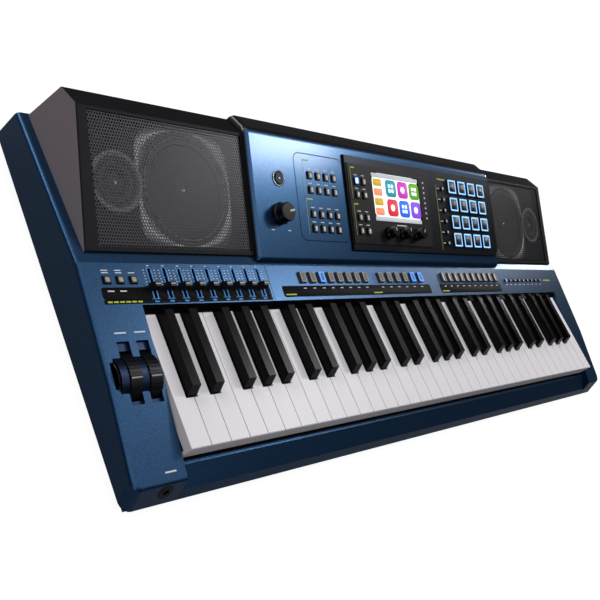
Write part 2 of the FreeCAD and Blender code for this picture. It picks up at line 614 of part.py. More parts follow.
def keys():
    """One node for each note name: its key in every octave, as separate solids."""
    white = white_section()
    for index, name in enumerate(WHITE_NAMES):
        count = OCTAVES + 1 if name == "c" else OCTAVES
        plans = [white_outline(name, index + 7 * octave, octave, octave == OCTAVES)
                 for octave in range(count)]
        slab = plate("white_plan_" + name, None, "key_top - lip_height - 1", "key_top + 1", plans)
        keys_here = doc.addObject("Part::Common", "white_keys_" + name)
        keys_here.Base = slab
        keys_here.Tool = white
        node(keys_here, "white_keys_" + name)
    black = black_section()
    for name in BLACK_PLACE:
        plans = []
        for octave in range(OCTAVES):
            middle = black_middle(name, octave)
            x0 = middle + " - black_base / 2"
            x1 = middle + " + black_base / 2"
            front = BLACK_FRONT + " - 5"
            rear = KEY_REAR + " + 5"
            plans.append([(x0, front), (x1, front), (x1, rear), (x0, rear)])
        slab = plate("black_plan_" + name, None, KEY_UNDER, "key_top + black_rise + 1", plans,
                     draft="black_draft")
        keys_here = doc.addObject("Part::Common", "black_keys_" + name)
        keys_here.Base = slab
        keys_here.Tool = black
        node(keys_here, "black_keys_" + name)


def key_bed():
    """Chassis under the keys: base plate, front stop, contact shelf, pivot post and rear wall."""
    pressed = "key_dip * (white_reach + pivot_set - stop_set) / (white_reach + pivot_set)"
    stop_top = "(%s - %s - felt_thick - running_gap)" % (KEY_UNDER, pressed)
    stop_y = "(%s + stop_set)" % KEY_FRONT
    shelf_y = "(-well_back - contact_set)"
    dome_press = "key_dip * (pivot_set + contact_set) / (white_reach + pivot_set)"
    shelf_top = "(%s - %s - 2 * running_gap - dome_height - board_thick)" % (KEY_UNDER, dome_press)
    wall_y = "(%s + running_gap * 3)" % KEY_REAR
    wall_top = "(key_top + 2 * running_gap)"
    plate_top = "(%s + bed_plate)" % PAN_TOP
    ends = (KEY_LEFT, KEY_RIGHT)
    base = bar("key_bed_base", [
        (stop_y, PAN_TOP), (wall_y + " + wall", PAN_TOP), (wall_y + " + wall", wall_top),
        (wall_y, wall_top), (wall_y, plate_top),
        (PIVOT_Y + " + post_width / 2", plate_top), (PIVOT_Y + " + post_width / 2", PIVOT_Z),
        (PIVOT_Y + " - post_width / 2", PIVOT_Z), (PIVOT_Y + " - post_width / 2", plate_top),
        (shelf_y + " + contact_width / 2", plate_top), (shelf_y + " + contact_width / 2", shelf_top),
        (shelf_y + " - contact_width / 2", shelf_top), (shelf_y + " - contact_width / 2", plate_top),
        (stop_y + " + stop_width", plate_top), (stop_y + " + stop_width", stop_top), (stop_y, stop_top),
    ], *ends)
    pivot = rod("key_bed_pivot", KEY_LEFT, PIVOT_Y, PIVOT_Z, "pivot_radius",
                "%s - %s" % (KEY_RIGHT, KEY_LEFT), ALONG_X)
    node(join("key_bed", [base, pivot]), "key_bed")
    felt = box("stop_felt", KEY_LEFT, stop_y, stop_top, KEY_RIGHT, stop_y + " + stop_width",
               stop_top + " + felt_thick")
    node(felt, "stop_felt")
    board = box("contact_board_plate", KEY_LEFT, shelf_y + " - contact_width / 2", shelf_top,
                KEY_RIGHT, shelf_y + " + contact_width / 2", shelf_top + " + board_thick")
    domes = box("contact_domes", KEY_LEFT, shelf_y + " - dome_width / 2", shelf_top + " + board_thick",
                KEY_RIGHT, shelf_y + " + dome_width / 2", shelf_top + " + board_thick + dome_height")
    node(join("key_contact_board", [board, domes]), "key_contact_board")
    fingers = []
    for place in range(7 * OCTAVES + 1):
        middle = "%s + %.1f * white_pitch" % (KEY_LEFT, place + 0.5)
        fingers.append(box("spring_finger_%d" % place, middle + " - spring_width / 2",
                           wall_y + " + wall - spring_reach", wall_top,
                           middle + " + spring_width / 2", wall_y + " + running_gap",
                           wall_top + " + spring_thick"))
    spine = box("spring_spine", KEY_LEFT, wall_y, wall_top, KEY_RIGHT, wall_y + " + wall",
                wall_top + " + spring_thick")
    node(join("key_springs", [spine] + fingers), "key_springs")


def wheels():
    """Two ribbed wheels on one axle between the fixed barrel's blocks."""
    for i, name in enumerate(("pitch_bend_wheel", "modulation_wheel")):
        body = doc.addObject("PartDesign::Body", name)
        disc = body.newObject("PartDesign::Pad", name + "_disc")
        disc.Profile = sketch_in(body, name + "_round", "YZ_Plane", circles=[
            ("0", "0", "wheel_radius"), ("0", "0", "axle_radius + axle_gap")])
        tie(disc, Length="wheel_width")
        doc.recompute()
        groove = body.newObject("PartDesign::Pocket", name + "_groove")
        groove.Profile = sketch_in(body, name + "_groove_outline", "YZ_Plane", [[
            ("-groove_width / 2", "wheel_radius - groove_depth"),
            ("groove_width / 2", "wheel_radius - groove_depth"),
            ("groove_width / 2", "wheel_radius + 1"), ("-groove_width / 2", "wheel_radius + 1")]])
        groove.Type = "ThroughAll"
        groove.Reversed = True
        doc.recompute()
        ribs = body.newObject("PartDesign::PolarPattern", name + "_ribs")
        ribs.Originals = [groove]
        axis = [f for f in body.Origin.OriginFeatures if f.Role == "X_Axis"][0]
        ribs.Axis = (axis, [""])
        ribs.Angle = 360
        ribs.Occurrences = WHEEL_GROOVES
        body.Tip = ribs
        tie(body, Placement__Base__x=LEFT + " + wheel_first + %d * wheel_pitch - wheel_width / 2" % i,
            Placement__Base__y="-wheel_set", Placement__Base__z="wheel_height")
        node(body, name)
    barrel = rod("barrel_round", LEFT + " + barrel_start", "-wheel_set", "wheel_height",
                 "barrel_radius", "barrel_length", ALONG_X)
    front = "(-wheel_set - wheel_slot / 2 - wall)"
    back = "(-wheel_set + wheel_slot / 2 + wall)"
    under = " - wall - running_gap"
    cradle = bar("barrel_cradle", [
        (front, PAN_TOP), (back, PAN_TOP), (back, deck(back) + under),
        ("-deck_bend_set", "deck_bend_height" + under), (front, deck(front) + under),
    ], "-" + PAN_SIDE + " + running_gap", LEFT + " + barrel_start + barrel_length")
    rooms = []
    for i in range(2):
        middle = LEFT + " + wheel_first + %d * wheel_pitch" % i
        rooms.append(rod("wheel_room_%d" % i, middle + " - wheel_width / 2 - wheel_room", "-wheel_set",
                         "wheel_height", "wheel_radius + 2", "wheel_width + 2 * wheel_room", ALONG_X))
    solid = join("barrel_solid", [barrel, cradle])
    hollow = cut("barrel_hollow", solid, rooms)
    axle = rod("wheel_axle", LEFT + " + barrel_start + 1", "-wheel_set", "wheel_height", "axle_radius",
               "barrel_length - 2", ALONG_X)
    node(join("wheel_barrel", [hollow, axle]), "wheel_barrel")


def console_outline(inset):
    """Side outline of the console housing, drawn in by a wall where inset says so."""
    face_low = on_slope("console", "0", "-" + inset)
    face_high = on_slope("console", "console_run", "-" + inset)
    foot = "console_set + " + inset
    back = "console_back - " + inset
    nose = "%s - (%s - (%s)) * tan(console_slope)" % (face_low[1], face_low[0], foot)
    sill = shoulder(foot) + (" - 1" if inset != "0" else "")
    end = shoulder(back) + (" - 1" if inset != "0" else "")
    return [(foot, sill), (foot, nose), face_high, (back, "console_back_height - " + inset), (back, end)]


def console_housing():
    """Blue hood over the controls, with a soft nose in front and a bent brow at the back."""
    body = bar("console_block", console_outline("0"), "-console_left", "console_right")
    brow = on_slope("console", "console_run", "0")
    round_off(body, edges_along_x(body.Tip.Shape, *brow), "console_brow")
    shape = body.Tip.Shape
    sill = size_of("%s - 1" % shoulder("console_set"))
    ends = [edge_names(shape, lambda p: abs(p.x - x) < 0.01 and p.z > sill)
            for x in (0, size_of("console_left + console_right"))]
    nose = edges_along_x(shape, "console_set", "console_height")
    round_off(body, nose + ends[0] + ends[1], "console_round")
    hollow = bar("console_hollow", console_outline("wall"), "-console_left + wall", "console_right - wall")
    shell = cut("console_shell", body, [hollow])
    bosses = []
    for i, (x, y) in enumerate(BOSS_PLACES):
        bosses.append(rod("console_boss_%d" % i, x, y, "-main_board_depth", "boss_radius",
                          "main_board_depth - wall / 2"))
    posts = group("console_bosses", bosses)
    tilt(posts, "console")
    posted = join("console_posted", [shell, posts])
    tools = [panel_openings("console_openings", "-wall - 1", "1")]
    tools.append(plate("console_plain_openings", "console", "-wall - 1", "1",
                       rectangles(TONE_PLACES, "tone_width", "tone_height", "fit_gap"),
                       rounds([POWER_PLACE], "power_radius", "fit_gap")
                       + rounds([VOLUME_PLACE], "shaft_radius", "fit_gap")))
    for i in range(len(JACK_X)):
        tools.append(rod("jack_opening_%d" % i, JACK_X[i], "console_back - wall - 1", "jack_height",
                         "jack_sleeve + fit_gap", "wall + 2", ALONG_Y))
    return node(cut("console_housing", posted, tools), "console_housing")


BOSS_PLACES = [(x, y) for x in ("-console_left + 30", "console_right - 12", "-100")
               for y in ("main_board_low + 6", "main_board_high - 6")]
JACK_X = ["jack_first - %d * jack_pitch" % i for i in range(5)]


def panel_openings(name, low, high):
    """What passes through the raised panel: screen, menu buttons, dial shafts, pads and bank buttons."""
    return plate(name, "console", low, high,
                 [rectangle(SCREEN_X, SCREEN_Y, "screen_width + 2 * screen_lap",
                            "screen_height + 2 * screen_lap", "fit_gap")]
                 + rectangles(MENU_PLACES, "tone_width", "tone_height", "fit_gap")
                 + rectangles(PAD_PLACES, "pad_width", "pad_height", "fit_gap"),
                 rounds(DIAL_PLACES, "shaft_radius", "fit_gap")
                 + rounds(BANK_PLACES, "bank_radius", "fit_gap"))


def performance_panel():
    """Raised dark panel on the console's right, with cut corners and a bevelled edge."""
    corner = "panel_corner"
    slab = plate("performance_slab", "console", "0", "panel_thick", [[
        ("-panel_left", "panel_low"), ("panel_right - panel_corner", "panel_low"),
        ("panel_right", "panel_low + " + corner), ("panel_right", "panel_high - " + corner),
        ("panel_right - panel_corner", "panel_high"), ("-panel_left", "panel_high"),
    ]], draft="25")
    return node(cut("performance_panel", slab, [panel_openings("performance_openings", "-1", "panel_thick + 1")]),
                "performance_panel")


def display():
    """Dark bezel round the touch screen, the screen itself and the menu buttons beside it."""
    top = "panel_thick + bezel_thick"
    slab = plate("bezel_slab", "console", "panel_thick", top, [[
        ("-panel_left + 3", "bezel_low"), ("bezel_right", "bezel_low"),
        ("bezel_right", "bezel_high"), ("-panel_left + 3", "bezel_high")]], draft="20")
    windows = plate("bezel_openings", "console", "panel_thick - 1", top + " + 1",
                    [rectangle(SCREEN_X, SCREEN_Y, "screen_width", "screen_height")]
                    + rectangles(MENU_PLACES, "tone_width", "tone_height", "fit_gap"),
                    rounds(DIAL_PLACES, "shaft_radius", "fit_gap"))
    node(cut("display_bezel", slab, [windows]), "display_bezel")
    screen = plate("touch_screen", "console", "panel_thick - screen_thick", "panel_thick",
                   [rectangle(SCREEN_X, SCREEN_Y, "screen_width + 2 * screen_lap",
                              "screen_height + 2 * screen_lap")])
    node(screen, "touch_screen")
    node(plate("menu_buttons", "console", "-button_depth", top + " + button_proud",
               rectangles(MENU_PLACES, "tone_width", "tone_height"), draft="1"), "menu_buttons")


def console_controls():
    """Buttons, pads and knobs of the console."""
    node(plate("tone_buttons", "console", "-button_depth", "button_proud",
               rectangles(TONE_PLACES, "tone_width", "tone_height"), draft="button_draft"), "tone_buttons")
    node(plate("phrase_pads", "console", "-button_depth", "panel_thick + button_proud",
               rectangles(PAD_PLACES, "pad_width", "pad_height"), draft="1"), "phrase_pads")
    node(plate("pad_bank_buttons", "console", "-button_depth", "panel_thick + button_proud",
               circles=rounds(BANK_PLACES, "bank_radius"), draft="1"), "pad_bank_buttons")
    node(plate("power_button", "console", "-button_depth", "button_proud",
               circles=rounds([POWER_PLACE], "power_radius"), draft="button_draft"), "power_button")
    knob("volume_knob", VOLUME_PLACE, "knob_gap", "volume_radius", "volume_height")
    for i, place in enumerate(DIAL_PLACES, start=1):
        knob("control_dial_%d" % i, place, "panel_thick + bezel_thick + knob_gap", "dial_radius",
             "dial_height")
    board = plate("main_circuit_board", "console", "-main_board_depth - board_thick", "-main_board_depth", [[
        ("-console_left + main_board_side", "main_board_low"),
        ("console_right - wall - fit_gap", "main_board_low"),
        ("console_right - wall - fit_gap", "main_board_high"),
        ("-console_left + main_board_side", "main_board_high")]])
    node(board, "main_circuit_board")


def knob(name, place, low, radius, height):
    """A round knob with a bevelled cap and skirt, on a shaft that reaches through its panel."""
    body = turned(name + "_turned", [
        ("0", "-shaft_depth"), ("shaft_radius", "-shaft_depth"), ("shaft_radius", low), (radius, low),
        (radius, "%s + %s / 4" % (low, height)), ("%s * 0.9" % radius, "%s + %s / 3" % (low, height)),
        ("%s * 0.86" % radius, "%s + %s - 1" % (low, height)),
        ("%s * 0.86 - 1" % radius, "%s + %s" % (low, height)), ("0", "%s + %s" % (low, height)),
    ])
    tie(body, Placement__Base__x=place[0], Placement__Base__y=place[1])
    holder = group(name, [body])
    tilt(holder, "console")
    node(holder, name)


def strip_controls():
    """Buttons behind the keys, the nine drawbar sliders and the board under them."""
    high = "button_proud"
    low = "-strip_button_depth"
    node(plate("organ_buttons", "strip", low, high,
               rectangles(ORGAN_PLACES, "organ_width", "organ_width"), draft="button_draft"), "organ_buttons")
    for name, places in (("rhythm_buttons", RHYTHM_PLACES), ("start_buttons", START_PLACES),
                         ("memory_buttons", MEMORY_PLACES)):
        node(plate(name, "strip", low, high + " + 1",
                   rectangles(places, "tall_width", "tall_height"), draft="button_draft"), name)
    node(plate("mode_buttons", "strip", low, high,
               circles=rounds(MODE_PLACES, "mode_radius"), draft="1"), "mode_buttons")
    for i, x in enumerate(SLIDER_X, start=1):
        stem = plate("slider_stem_%d" % i, None, "-stem_depth", "cap_lift + 1",
                     [rectangle(x, "-slider_up", "stem_width", "stem_length")])
        cap = plate("slider_cap_%d" % i, None, "cap_lift", "cap_lift + cap_height",
                    [rectangle(x, "-slider_up", "cap_width", "cap_length")], draft="9")
        slider = join("drawbar_slider_%d" % i, [stem, cap])
        tilt(slider, "strip")
        node(slider, "drawbar_slider_%d" % i)
    board = plate("strip_board_slab", None, "-strip_board_depth - board_thick", "-strip_board_depth", [[
        (LEFT + " + board_left_in", "-strip_board_low"), (RIGHT + " - board_right_in", "-strip_board_low"),
        (RIGHT + " - board_right_in", "-strip_board_high"), (LEFT + " + board_left_in", "-strip_board_high")]])
    posts = plate("strip_posts", None, "-strip_board_depth", "-wall",
                  circles=[("%.2f * white_pitch" % keys, "-strip_board_high - boss_radius", "boss_radius - 0.5")
                           for keys in STRIP_POSTS])
    whole = join("strip_circuit_board", [board, posts])
    tilt(whole, "strip")
    node(whole, "strip_circuit_board")


def speaker_ends(side):
    """Where a speaker box starts and ends along X."""
    if side == "left":
        return "(-speaker_out)", "(-console_left)"
    return "(console_right)", "(speaker_out)"


def speaker_window(side):
    """Where the opening for a box's grille starts and ends along X."""
    start, end = speaker_ends(side)
    if side == "left":
        return "(%s + frame_border)" % start, "(%s - inner_border)" % end
    return "(%s + inner_border)" % start, "(%s - frame_border)" % end


def speaker_outline():
    low = on_slope("speaker", "0", "0")
    high = on_slope("speaker", "speaker_run", "0")
    return [(low[0], shoulder(low[0])), low, high, ("speaker_back", "speaker_back_height"),
            ("speaker_foot_back", shoulder("speaker_foot_back"))]


def speaker_hollow():
    front = "speaker_set + baffle_sink + baffle_thick + 9"
    deep = "-baffle_sink - baffle_thick"
    high = on_slope("speaker", "speaker_run - 10", deep)
    rise = "%s - (%s - (%s)) * tan(speaker_slope)" % (high[1], high[0], front)
    return [(front, shoulder(front) + " - 5"), (front, rise), high,
            ("speaker_back - wall", "speaker_back_height - wall - 2"),
            ("speaker_foot_back - wall", shoulder("speaker_foot_back") + " - 5")]


def speakers():
    """A box, grille, woofer and tweeter on each side of the console."""
    grilles = []
    woofers = []
    tweeters = []
    for side, sign in (("left", 1), ("right", -1)):
        ends = speaker_ends(side)
        outer = ends[0] if side == "left" else ends[1]
        x0, x1 = speaker_window(side)
        body = bar(side + "_speaker_block", speaker_outline(), *ends)
        far = "0" if side == "left" else "(%s - %s)" % (ends[1], ends[0])
        low = shoulder("speaker_foot_back")
        high = on_slope("speaker", "speaker_run", "1")[1]
        lean = body.newObject("PartDesign::Pocket", side + "_speaker_lean")
        lean.Profile = sketch_in(body, side + "_speaker_lean_outline", "XZ_Plane", [[
            ("%s - %d * 5" % (far, sign), low), (far, low),
            ("%s + %d * speaker_lean" % (far, sign), high), ("%s - %d * 5" % (far, sign), high)]])
        lean.Type = "ThroughAll"
        doc.recompute()
        y0 = size_of("speaker_set")
        z0 = size_of("speaker_height")
        rise = size_of("tan(speaker_slope)")
        side_x = size_of(far)
        reach = size_of("speaker_lean") + 0.1
        round_off(body, edge_names(body.Tip.Shape, lambda p: abs(p.z - z0 - (p.y - y0) * rise) < 0.01
                                   and abs(p.x - side_x) < reach), "speaker_round")
        hollow = bar(side + "_speaker_hollow", speaker_hollow(), ends[0] + " + wall + speaker_lean",
                     ends[1] + " - wall - speaker_lean")
        deep = "-baffle_sink - baffle_thick"
        tub = bar(side + "_speaker_tub", [
            on_slope("speaker", "frame_low", deep), on_slope("speaker", "frame_high", deep),
            on_slope("speaker", "frame_high", "-1"), on_slope("speaker", "frame_low", "-1")], x0, x1)

        def window(grow):
            return [(x0 + " - " + grow, "frame_low - " + grow), (x1 + " + " + grow, "frame_low - " + grow),
                    (x1 + " + " + grow, "frame_high + " + grow), (x0 + " - " + grow, "frame_high + " + grow)]

        rebate = plate(side + "_grille_rebate", "speaker", "-grille_sink - grille_thick", "1", [window("0")])
        pocket = plate(side + "_driver_pocket", "speaker", "-baffle_sink", "1", [window("(-grille_ledge)")])
        woofer_x = "%s + %d * woofer_from_side" % (outer, sign)
        tweeter_x = "%s + %d * tweeter_from_side" % (outer, sign)
        bores = plate(side + "_driver_bores", "speaker", "-baffle_sink - baffle_thick - 1", "1", circles=[
            (woofer_x, "woofer_up", "woofer_radius - rim_lap"), (tweeter_x, "tweeter_up", "tweeter_radius - rim_lap")])
        emptied = join(side + "_speaker_shell", [cut(side + "_speaker_skin", body, [hollow]), tub])
        tools = join(side + "_speaker_tools", [rebate, pocket, bores])
        node(cut(side + "_speaker_box", emptied, [tools]), side + "_speaker_box")
        grilles.append(plate(side + "_grille", "speaker", "-grille_sink - grille_thick", "-grille_sink",
                             [window("(-running_gap)")]))
        woofers.append(driver(side + "_woofer", woofer_x, "woofer_up", "woofer_radius", "cap_radius",
                              "cone_depth", "magnet_radius", "magnet_depth"))
        tweeters.append(driver(side + "_tweeter", tweeter_x, "tweeter_up", "tweeter_radius", "cap_radius * 0.8",
                               "cone_depth / 2", "magnet_radius * 0.7", "magnet_depth"))
    node(group("speaker_grilles", grilles), "speaker_grilles")
    node(group("woofers", woofers), "woofers")
    node(group("tweeters", tweeters), "tweeters")


def driver(name, x, y, radius, cap, cone, magnet, depth):
    """A loudspeaker on the baffle: flange, rolled surround, cone, dust cap and magnet."""
    face = "(-baffle_sink)"
    body = turned(name + "_turned", [
        ("0", face + " - flange_thick - %s - %s" % (cone, depth)),
        (magnet, face + " - flange_thick - %s - %s" % (cone, depth)),
        (magnet, face + " - flange_thick - %s" % cone),
        ("%s - rim_lap - fit_gap" % radius, face + " - fit_gap"),
        ("%s - rim_lap - fit_gap" % radius, face), (radius, face), (radius, face + " + flange_thick"),
        ("%s - 3" % radius, face + " + flange_thick"), ("%s - 5" % radius, face + " + 1"),
        ("%s - 7" % radius, face + " + flange_thick"), ("%s - 11" % radius, face + " + flange_thick"),
        ("%s - 13" % radius, face + " + 1"), (cap, face + " - %s + 1" % cone),
        ("%s * 0.6" % cap, face + " - %s + 4" % cone), ("0", face + " - %s + 5" % cone),
    ])
    tie(body, Placement__Base__x=x, Placement__Base__y=y)
    holder = group(name, [body])
    tilt(holder, "speaker")
    return holder


def sockets():
    """Headphone socket in the left block and a row of sockets in the console's back."""
    sleeves = []
    for i, x in enumerate(JACK_X):
        back = "console_back"
        flange = rod("jack_flange_%d" % i, x, back, "jack_height", "jack_flange_radius", "jack_flange", ALONG_Y)
        sleeve = rod("jack_sleeve_%d" % i, x, back + " + jack_flange - jack_length - jack_floor", "jack_height",
                     "jack_sleeve", "jack_length + jack_floor", ALONG_Y)
        hole = rod("jack_hole_%d" % i, x, back + " + jack_flange - jack_length", "jack_height", "jack_radius",
                   "jack_length + 1", ALONG_Y)
        sleeves.append(cut("jack_%d" % i, join("jack_solid_%d" % i, [flange, sleeve]), [hole]))
    node(group("rear_jacks", sleeves), "rear_jacks")
    body = phones_rod("phones_sleeve", "-jack_flange + 1", "jack_sleeve", "jack_length + jack_floor")
    rim = phones_rod("phones_rim", "-jack_flange + 1", "jack_flange_radius", "jack_flange + wall")
    hole = phones_rod("phones_hole", "-jack_flange", "jack_radius", "jack_length + 1")
    node(cut("phones_jack", join("phones_solid", [body, rim]), [hole]), "phones_jack")


def feet_and_screws():
    feet = []
    for i, (side, row) in enumerate([(s, r) for s in (-1, 1) for r in ("-foot_row_front", "foot_row_back")]):
        foot = turned("foot_%d" % i, [
            ("0", "0"), ("foot_radius - 1", "0"), ("foot_radius", "1"), ("foot_radius", "foot_height"),
            ("0", "foot_height")])
        tie(foot, Placement__Base__x="%d * (case_width / 2 - foot_in)" % side, Placement__Base__y=row)
        feet.append(foot)
    node(group("rubber_feet", feet), "rubber_feet")
    screws = []
    for i, (x, y) in enumerate(SCREW_PLACES):
        screw = turned("screw_%d" % i, [
            ("0", "-screw_head_thick"), ("screw_head - 1", "-screw_head_thick"),
            ("screw_head", "-screw_head_thick / 2"), ("screw_head", "0"), ("screw_radius", "0"),
            ("screw_radius", "pan_floor + 2"), ("0", "pan_floor + 2")])
        tie(screw, Placement__Base__x=x, Placement__Base__y=y, Placement__Base__z="foot_height")
        screws.append(screw)
    node(group("case_screws", screws), "case_screws")


lower_case()
upper_case()
fallboard_strip()
key_bed()
keys()
wheels()
console_housing()
performance_panel()
display()
console_controls()
strip_controls()
speakers()
sockets()
feet_and_screws()
doc.recompute()

for thing in doc.Objects:
    if "Invalid" in thing.State or "Error" in thing.State:
        raise RuntimeError("%s did not build: %s" % (thing.Label, thing.State))
for thing in nodes:
    if thing.Shape.isNull() or not thing.Shape.isValid() or not thing.Shape.Solids:
        raise RuntimeError("%s has no sound solid" % thing.Label)
os.makedirs("parts", exist_ok=True)
for thing in nodes:
    thing.Shape.exportStep("parts/%s.step" % thing.Label)
    bounds = thing.Shape.BoundBox
    print("%-24s %2d solids  x %.1f..%.1f  y %.1f..%.1f  z %.1f..%.1f" % (
        thing.Label, len(thing.Shape.Solids), bounds.XMin, bounds.XMax, bounds.YMin, bounds.YMax,
        bounds.ZMin, bounds.ZMax))
print(len(nodes), "nodes")
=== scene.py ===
import json
import math

import bpy
import numpy as np
from mathutils import Matrix, Vector


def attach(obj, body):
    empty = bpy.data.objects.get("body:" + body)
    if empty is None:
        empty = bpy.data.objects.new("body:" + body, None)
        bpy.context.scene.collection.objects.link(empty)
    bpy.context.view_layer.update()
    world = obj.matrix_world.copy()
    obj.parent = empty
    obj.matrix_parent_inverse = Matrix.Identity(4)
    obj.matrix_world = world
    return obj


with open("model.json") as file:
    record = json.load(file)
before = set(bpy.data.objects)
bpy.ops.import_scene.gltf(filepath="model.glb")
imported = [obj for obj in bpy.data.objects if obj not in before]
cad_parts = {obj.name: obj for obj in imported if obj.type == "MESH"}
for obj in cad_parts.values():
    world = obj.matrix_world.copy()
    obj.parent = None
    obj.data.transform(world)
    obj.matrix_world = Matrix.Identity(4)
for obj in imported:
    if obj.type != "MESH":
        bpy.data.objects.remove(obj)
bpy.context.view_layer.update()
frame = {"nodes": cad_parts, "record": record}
nodes = frame["nodes"]

MM = 0.001
CM = 10 * MM
# Faces of the instrument: depth and height of the face's origin in millimetres, and its slope in degrees.
FACES = {
    "console": (20.0, 65.9225, 22.0),
    "speaker": (28.0, 62.9491, 22.0),
    "strip": (17.0, 61.0, 5.85),
    "deck": (-95.0, 49.3, 6.029),
    "apron": (-95.0, 49.3, 9.065),
    "back": (177.0, 0.0, -90.0),
}


def on_face(face, u, v, w):
    """World points, in metres, of places on a face in millimetres.

    u runs along X, v up the slope and w off the face; v and w are turned by the slope about its origin.
    """
    depth, height, slope = FACES[face]
    c = math.cos(math.radians(slope))
    s = math.sin(math.radians(slope))
    u, v, w = np.broadcast_arrays(np.asarray(u, float), v, w)
    return np.stack([u, depth + v * c - w * s, height + v * s + w * c], -1) * MM


# Materials

# Share of metal in the lacquer, and its flakes to the centimetre. Real flakes are far finer than the
# render can show, so they are drawn this coarse.
LACQUER_METAL = 0.85
LACQUER_FLAKES = 22
# The console's lacquer ends at its brow, by depth, and at its two ends, by distance from its middle (mm). The
# black past the ends is partly painted shade.
CONSOLE_MIDDLE = 7.5
BROW_EDGE = (151.5, 152.1)
SHADED_END_EDGE = (260.8, 261.1)
# Sideways slope times the distance from the instrument's middle in metres, where the painted light on a
# speaker's outward cheek starts.
LIT_CHEEK_EDGE = (0.40, 0.43)
# Pitch and radius of the grille's holes in millimetres, drawn as coarse as they need to be to show.
HOLE_PITCH = 3.0
HOLE_RADIUS = 1.2
ROW_PITCH = HOLE_PITCH * math.sqrt(3.0)


def linear(text):
    """Linear colour of an sRGB hex."""
    parts = np.array([int(text[i:i + 2], 16) / 255 for i in (0, 2, 4)])
    parts = np.where(parts <= 0.04045, parts / 12.92, ((parts + 0.055) / 1.055) ** 2.4)
    return (*parts, 1.0)


def add(tree, kind, values=(), **settings):
    """A shader node with its settings; the value of an input is a constant or the socket that feeds it."""
    step = tree.nodes.new(kind)
    for name, setting in settings.items():
        setattr(step, name, setting)
    for name, value in dict(values).items():
        if isinstance(value, bpy.types.NodeSocket):
            tree.links.new(value, step.inputs[name])
        else:
            step.inputs[name].default_value = value
    return step


def material(name, colour, rough, metal=0.0, coat=0.0, coat_rough=0.05, specular=0.5, emit=0.0):
    """A plain principled material; its tree and shader come back with it for more nodes."""
    mat = bpy.data.materials.new(name)
    mat.use_nodes = True
    tree = mat.node_tree
    tree.nodes.clear()
    out = add(tree, "ShaderNodeOutputMaterial")
    shade = add(tree, "ShaderNodeBsdfPrincipled", {
        "Base Color": linear(colour), "Roughness": rough, "Metallic": metal,
        "Coat Weight": coat, "Coat Roughness": coat_rough, "Specular IOR Level": specular,
        "Emission Color": linear(colour), "Emission Strength": emit,
    })
    tree.links.new(shade.outputs["BSDF"], out.inputs["Surface"])
    mat.diffuse_color = linear(colour)
    return mat, tree, shade


def grain(tree, shade, bumps):
    """Moulded grain from noise: so many bumps to the centimetre, a tenth of a millimetre deep.

    Real grain is finer than the render can show, so it is drawn this coarse.
    """
    spot = add(tree, "ShaderNodeTexCoord").outputs["Object"]
    noise = add(tree, "ShaderNodeTexNoise", {"Vector": spot, "Scale": bumps / CM, "Detail": 3.0})
    bump = add(tree, "ShaderNodeBump", {
        "Height": noise.outputs["Fac"], "Strength": 0.25, "Distance": 0.1 * MM})
    tree.links.new(bump.outputs["Normal"], shade.inputs["Normal"])


def flaked(tree, deep, light):
    """Colour of lacquer whose flakes each have their own share between the deep and the light one."""
    spot = add(tree, "ShaderNodeTexCoord").outputs["Object"]
    flakes = add(tree, "ShaderNodeTexVoronoi", {"Vector": spot, "Scale": LACQUER_FLAKES / CM})
    colour = add(tree, "ShaderNodeMix", {
        0: flakes.outputs["Color"], 6: linear(deep), 7: linear(light)}, data_type="RGBA")
    return colour.outputs[2]


def lacquer(name, deep, light, rough, coat):
    """Metallic lacquer that gathers the light in a broad blue sheen."""
    mat, tree, shade = material(name, deep, rough, metal=LACQUER_METAL, coat=coat, coat_rough=0.34)
    tree.links.new(flaked(tree, deep, light), shade.inputs["Base Color"])
    return mat


def console_lacquer():
    """The case's lacquer on the console's face; its brow is bare black plastic, and its ends are painted
    black, partly dark plastic and partly painted shade in the gaps beside the speakers.
    """
    deep = "062640"
    mat, tree, shade = material("console_blue_lacquer", deep, 0.29, coat=0.6, coat_rough=0.16)
    spot = add(tree, "ShaderNodeTexCoord").outputs["Object"]
    axes = add(tree, "ShaderNodeSeparateXYZ", {"Vector": spot}).outputs
    brow = add(tree, "ShaderNodeMapRange", {
        "Value": axes["Y"], "From Min": BROW_EDGE[0] * MM, "From Max": BROW_EDGE[1] * MM})
    aside = add(tree, "ShaderNodeMath", {0: axes["X"], 1: CONSOLE_MIDDLE * MM}, operation="SUBTRACT")
    away = add(tree, "ShaderNodeMath", {0: aside.outputs[0]}, operation="ABSOLUTE")
    # The black at the ends is partly painted shade, for the gap between the console and each speaker.
    ends = add(tree, "ShaderNodeMapRange", {
        "Value": away.outputs[0], "From Min": SHADED_END_EDGE[0] * MM, "From Max": SHADED_END_EDGE[1] * MM})
    black_brow_and_shaded_ends = add(tree, "ShaderNodeMath", {
        0: brow.outputs["Result"], 1: ends.outputs["Result"]}, operation="MAXIMUM").outputs[0]
    colour = add(tree, "ShaderNodeMix", {
        0: black_brow_and_shaded_ends, 6: flaked(tree, deep, "175481"), 7: linear("0b0b0d")}, data_type="RGBA")
    tree.links.new(colour.outputs[2], shade.inputs["Base Color"])
    metal = add(tree, "ShaderNodeMapRange", {"Value": black_brow_and_shaded_ends, "To Min": LACQUER_METAL, "To Max": 0.0})
    tree.links.new(metal.outputs["Result"], shade.inputs["Metallic"])
    return mat


